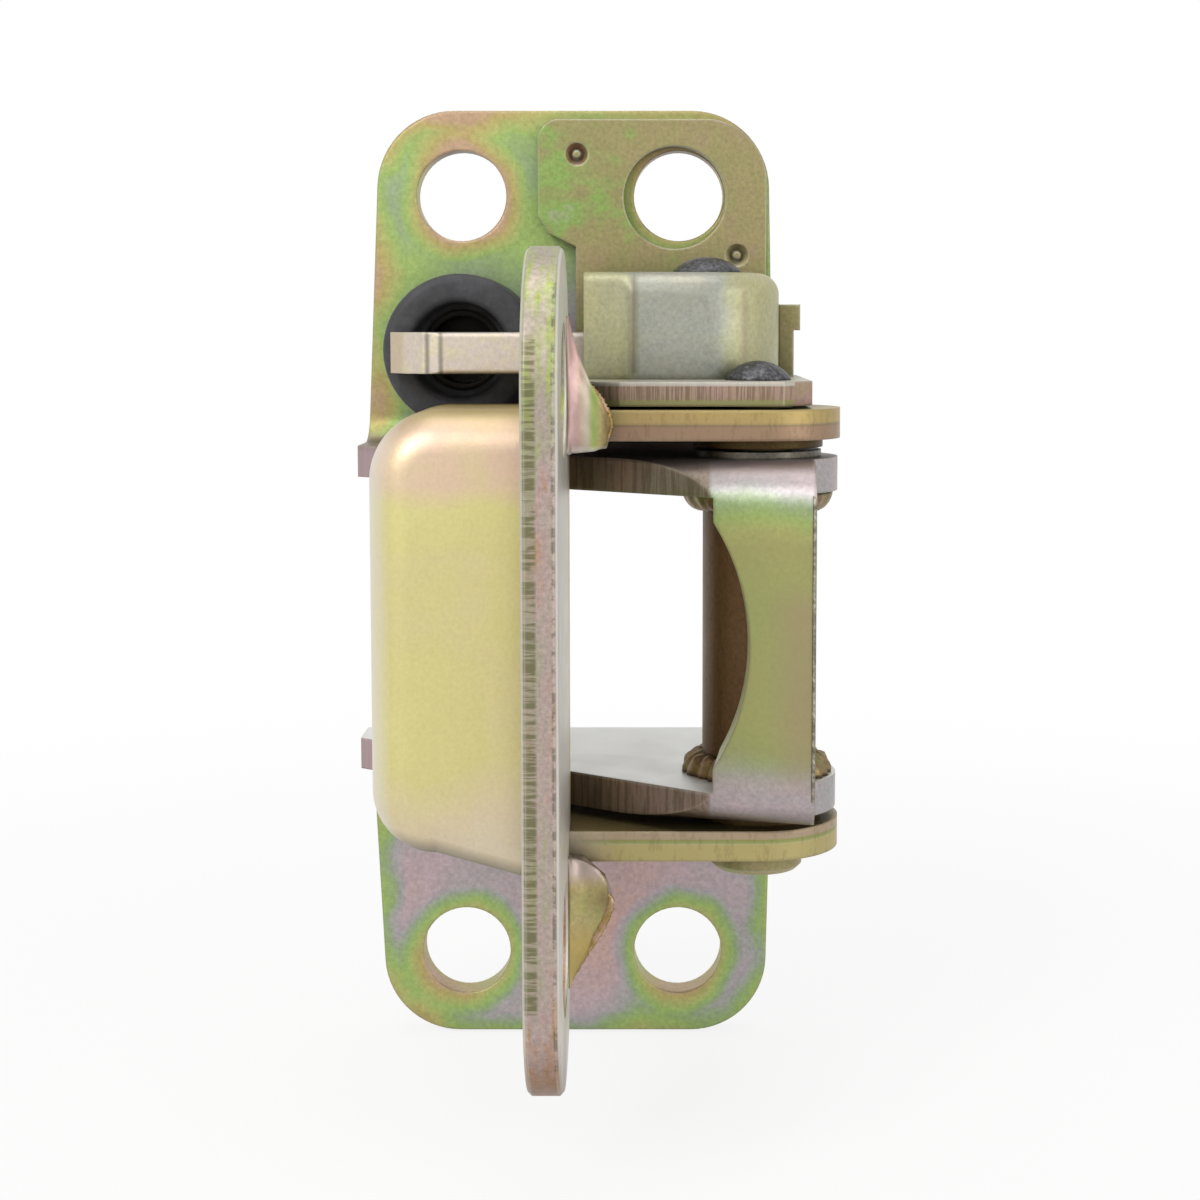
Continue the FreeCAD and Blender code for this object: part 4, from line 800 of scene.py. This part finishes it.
def paleFloor(spec):
    # matt white studio paint: it shows as a plain pale ground with a soft shadow
    material, tree, shader, inMm = newMaterial("paleStudioFloor")
    shader.inputs["Base Color"].default_value = toLinear(spec["paint"])
    shader.inputs["Roughness"].default_value = spec["roughness"]
    flat = addNode(tree, "ShaderNodeVectorMath", {"operation": "MULTIPLY", 1: (1.0, 1.0, 0.0)},
                   {0: inMm}).outputs[0]
    far = addNode(tree, "ShaderNodeVectorMath", {"operation": "LENGTH"}, {0: flat}).outputs["Value"]
    fade = addNode(tree, "ShaderNodeMapRange",
                   {"interpolation_type": "SMOOTHSTEP", "From Min": spec["fadeStart"],
                    "From Max": spec["fadeEnd"], "To Min": spec["glowNear"], "To Max": spec["glowFar"]},
                   {"Value": far}).outputs[0]
    share = addNode(tree, "ShaderNodeMath", {"operation": "MULTIPLY"},
                    {0: fade, 1: seenDirectly(tree)}).outputs[0]
    glow = addNode(tree, "ShaderNodeEmission", {"Color": (1.0, 1.0, 1.0, 1.0), "Strength": 1.0})
    mixed = addNode(tree, "ShaderNodeMixShader", None,
                    {0: share, 1: shader.outputs[0], 2: glow.outputs[0]})
    tree.links.new(mixed.outputs[0], tree.nodes["Material Output"].inputs["Surface"])
    count, points = spec["corners"], []
    for step in range(count):
        angle = 2 * math.pi * step / count
        points.append((spec["radius"] * math.cos(angle) * mm, spec["radius"] * math.sin(angle) * mm,
                       spec["level"] * mm))
    floor = meshPiece("studio_floor", points, [list(range(count))], material, smooth=False)


paleFloor(floorSpec)

# White all round: full white to the eye, and less of it as light on the object
worldSpec = {"light": 0.40, "white": 1.0}


def studioWorld(spec):
    world = bpy.data.worlds.new("whiteStudio")
    bpy.context.scene.world = world
    world.use_nodes = True
    tree = world.node_tree
    tree.nodes.clear()
    dim = addNode(tree, "ShaderNodeBackground", {"Color": (1.0, 1.0, 1.0, 1.0), "Strength": spec["light"]})
    white = addNode(tree, "ShaderNodeBackground", {"Color": (1.0, 1.0, 1.0, 1.0), "Strength": spec["white"]})
    mixed = addNode(tree, "ShaderNodeMixShader", None,
                    {0: seenDirectly(tree), 1: dim.outputs[0], 2: white.outputs[0]})
    addNode(tree, "ShaderNodeOutputWorld", None, {"Surface": mixed.outputs[0]})


studioWorld(worldSpec)

# Three soft square lamps in metres and watts, aimed at the middle of the hinge
lamps = {"front_key": {"place": (-0.45, -0.75, 0.55), "size": 0.45, "power": 4.5},
         "right_fill": {"place": (0.70, -0.55, 0.20), "size": 0.5, "power": 1.6},
         "top_soft": {"place": (0.0, -0.10, 0.80), "size": 0.5, "power": 1.7}}
lampAim = Vector((0.0, -0.03, 0.0))
for name, spec in lamps.items():
    light = bpy.data.lights.new(name, "AREA")
    light.shape = "SQUARE"
    light.size = spec["size"]
    light.energy = spec["power"]
    lamp = bpy.data.objects.new(name, light)
    bpy.context.scene.collection.objects.link(lamp)
    lamp.location = spec["place"]
    lamp.rotation_euler = (lampAim - lamp.location).to_track_quat("-Z", "Y").to_euler()
print("floor and lamps set")

# The photograph's view, with little shift so that views from other sides keep the whole hinge
cameraSpec = {"place": (0.01168, -0.31033, 0.03869), "lens": 61.29, "sensor": 36.0, "shiftX": -0.0406,
              "shiftY": -0.09, "tilt": 4.78, "near": 0.01}
camera = bpy.data.objects.new("photo_camera", bpy.data.cameras.new("photo_camera"))
bpy.context.scene.collection.objects.link(camera)
camera.location = cameraSpec["place"]
camera.rotation_euler = (math.radians(90 - cameraSpec["tilt"]), 0.0, 0.0)
camera.data.lens = cameraSpec["lens"]
camera.data.sensor_width = cameraSpec["sensor"]
camera.data.shift_x = cameraSpec["shiftX"]
camera.data.shift_y = cameraSpec["shiftY"]
camera.data.clip_start = cameraSpec["near"]
bpy.context.scene.camera = camera
bpy.context.scene.view_settings.view_transform = "Standard"
print("camera set")
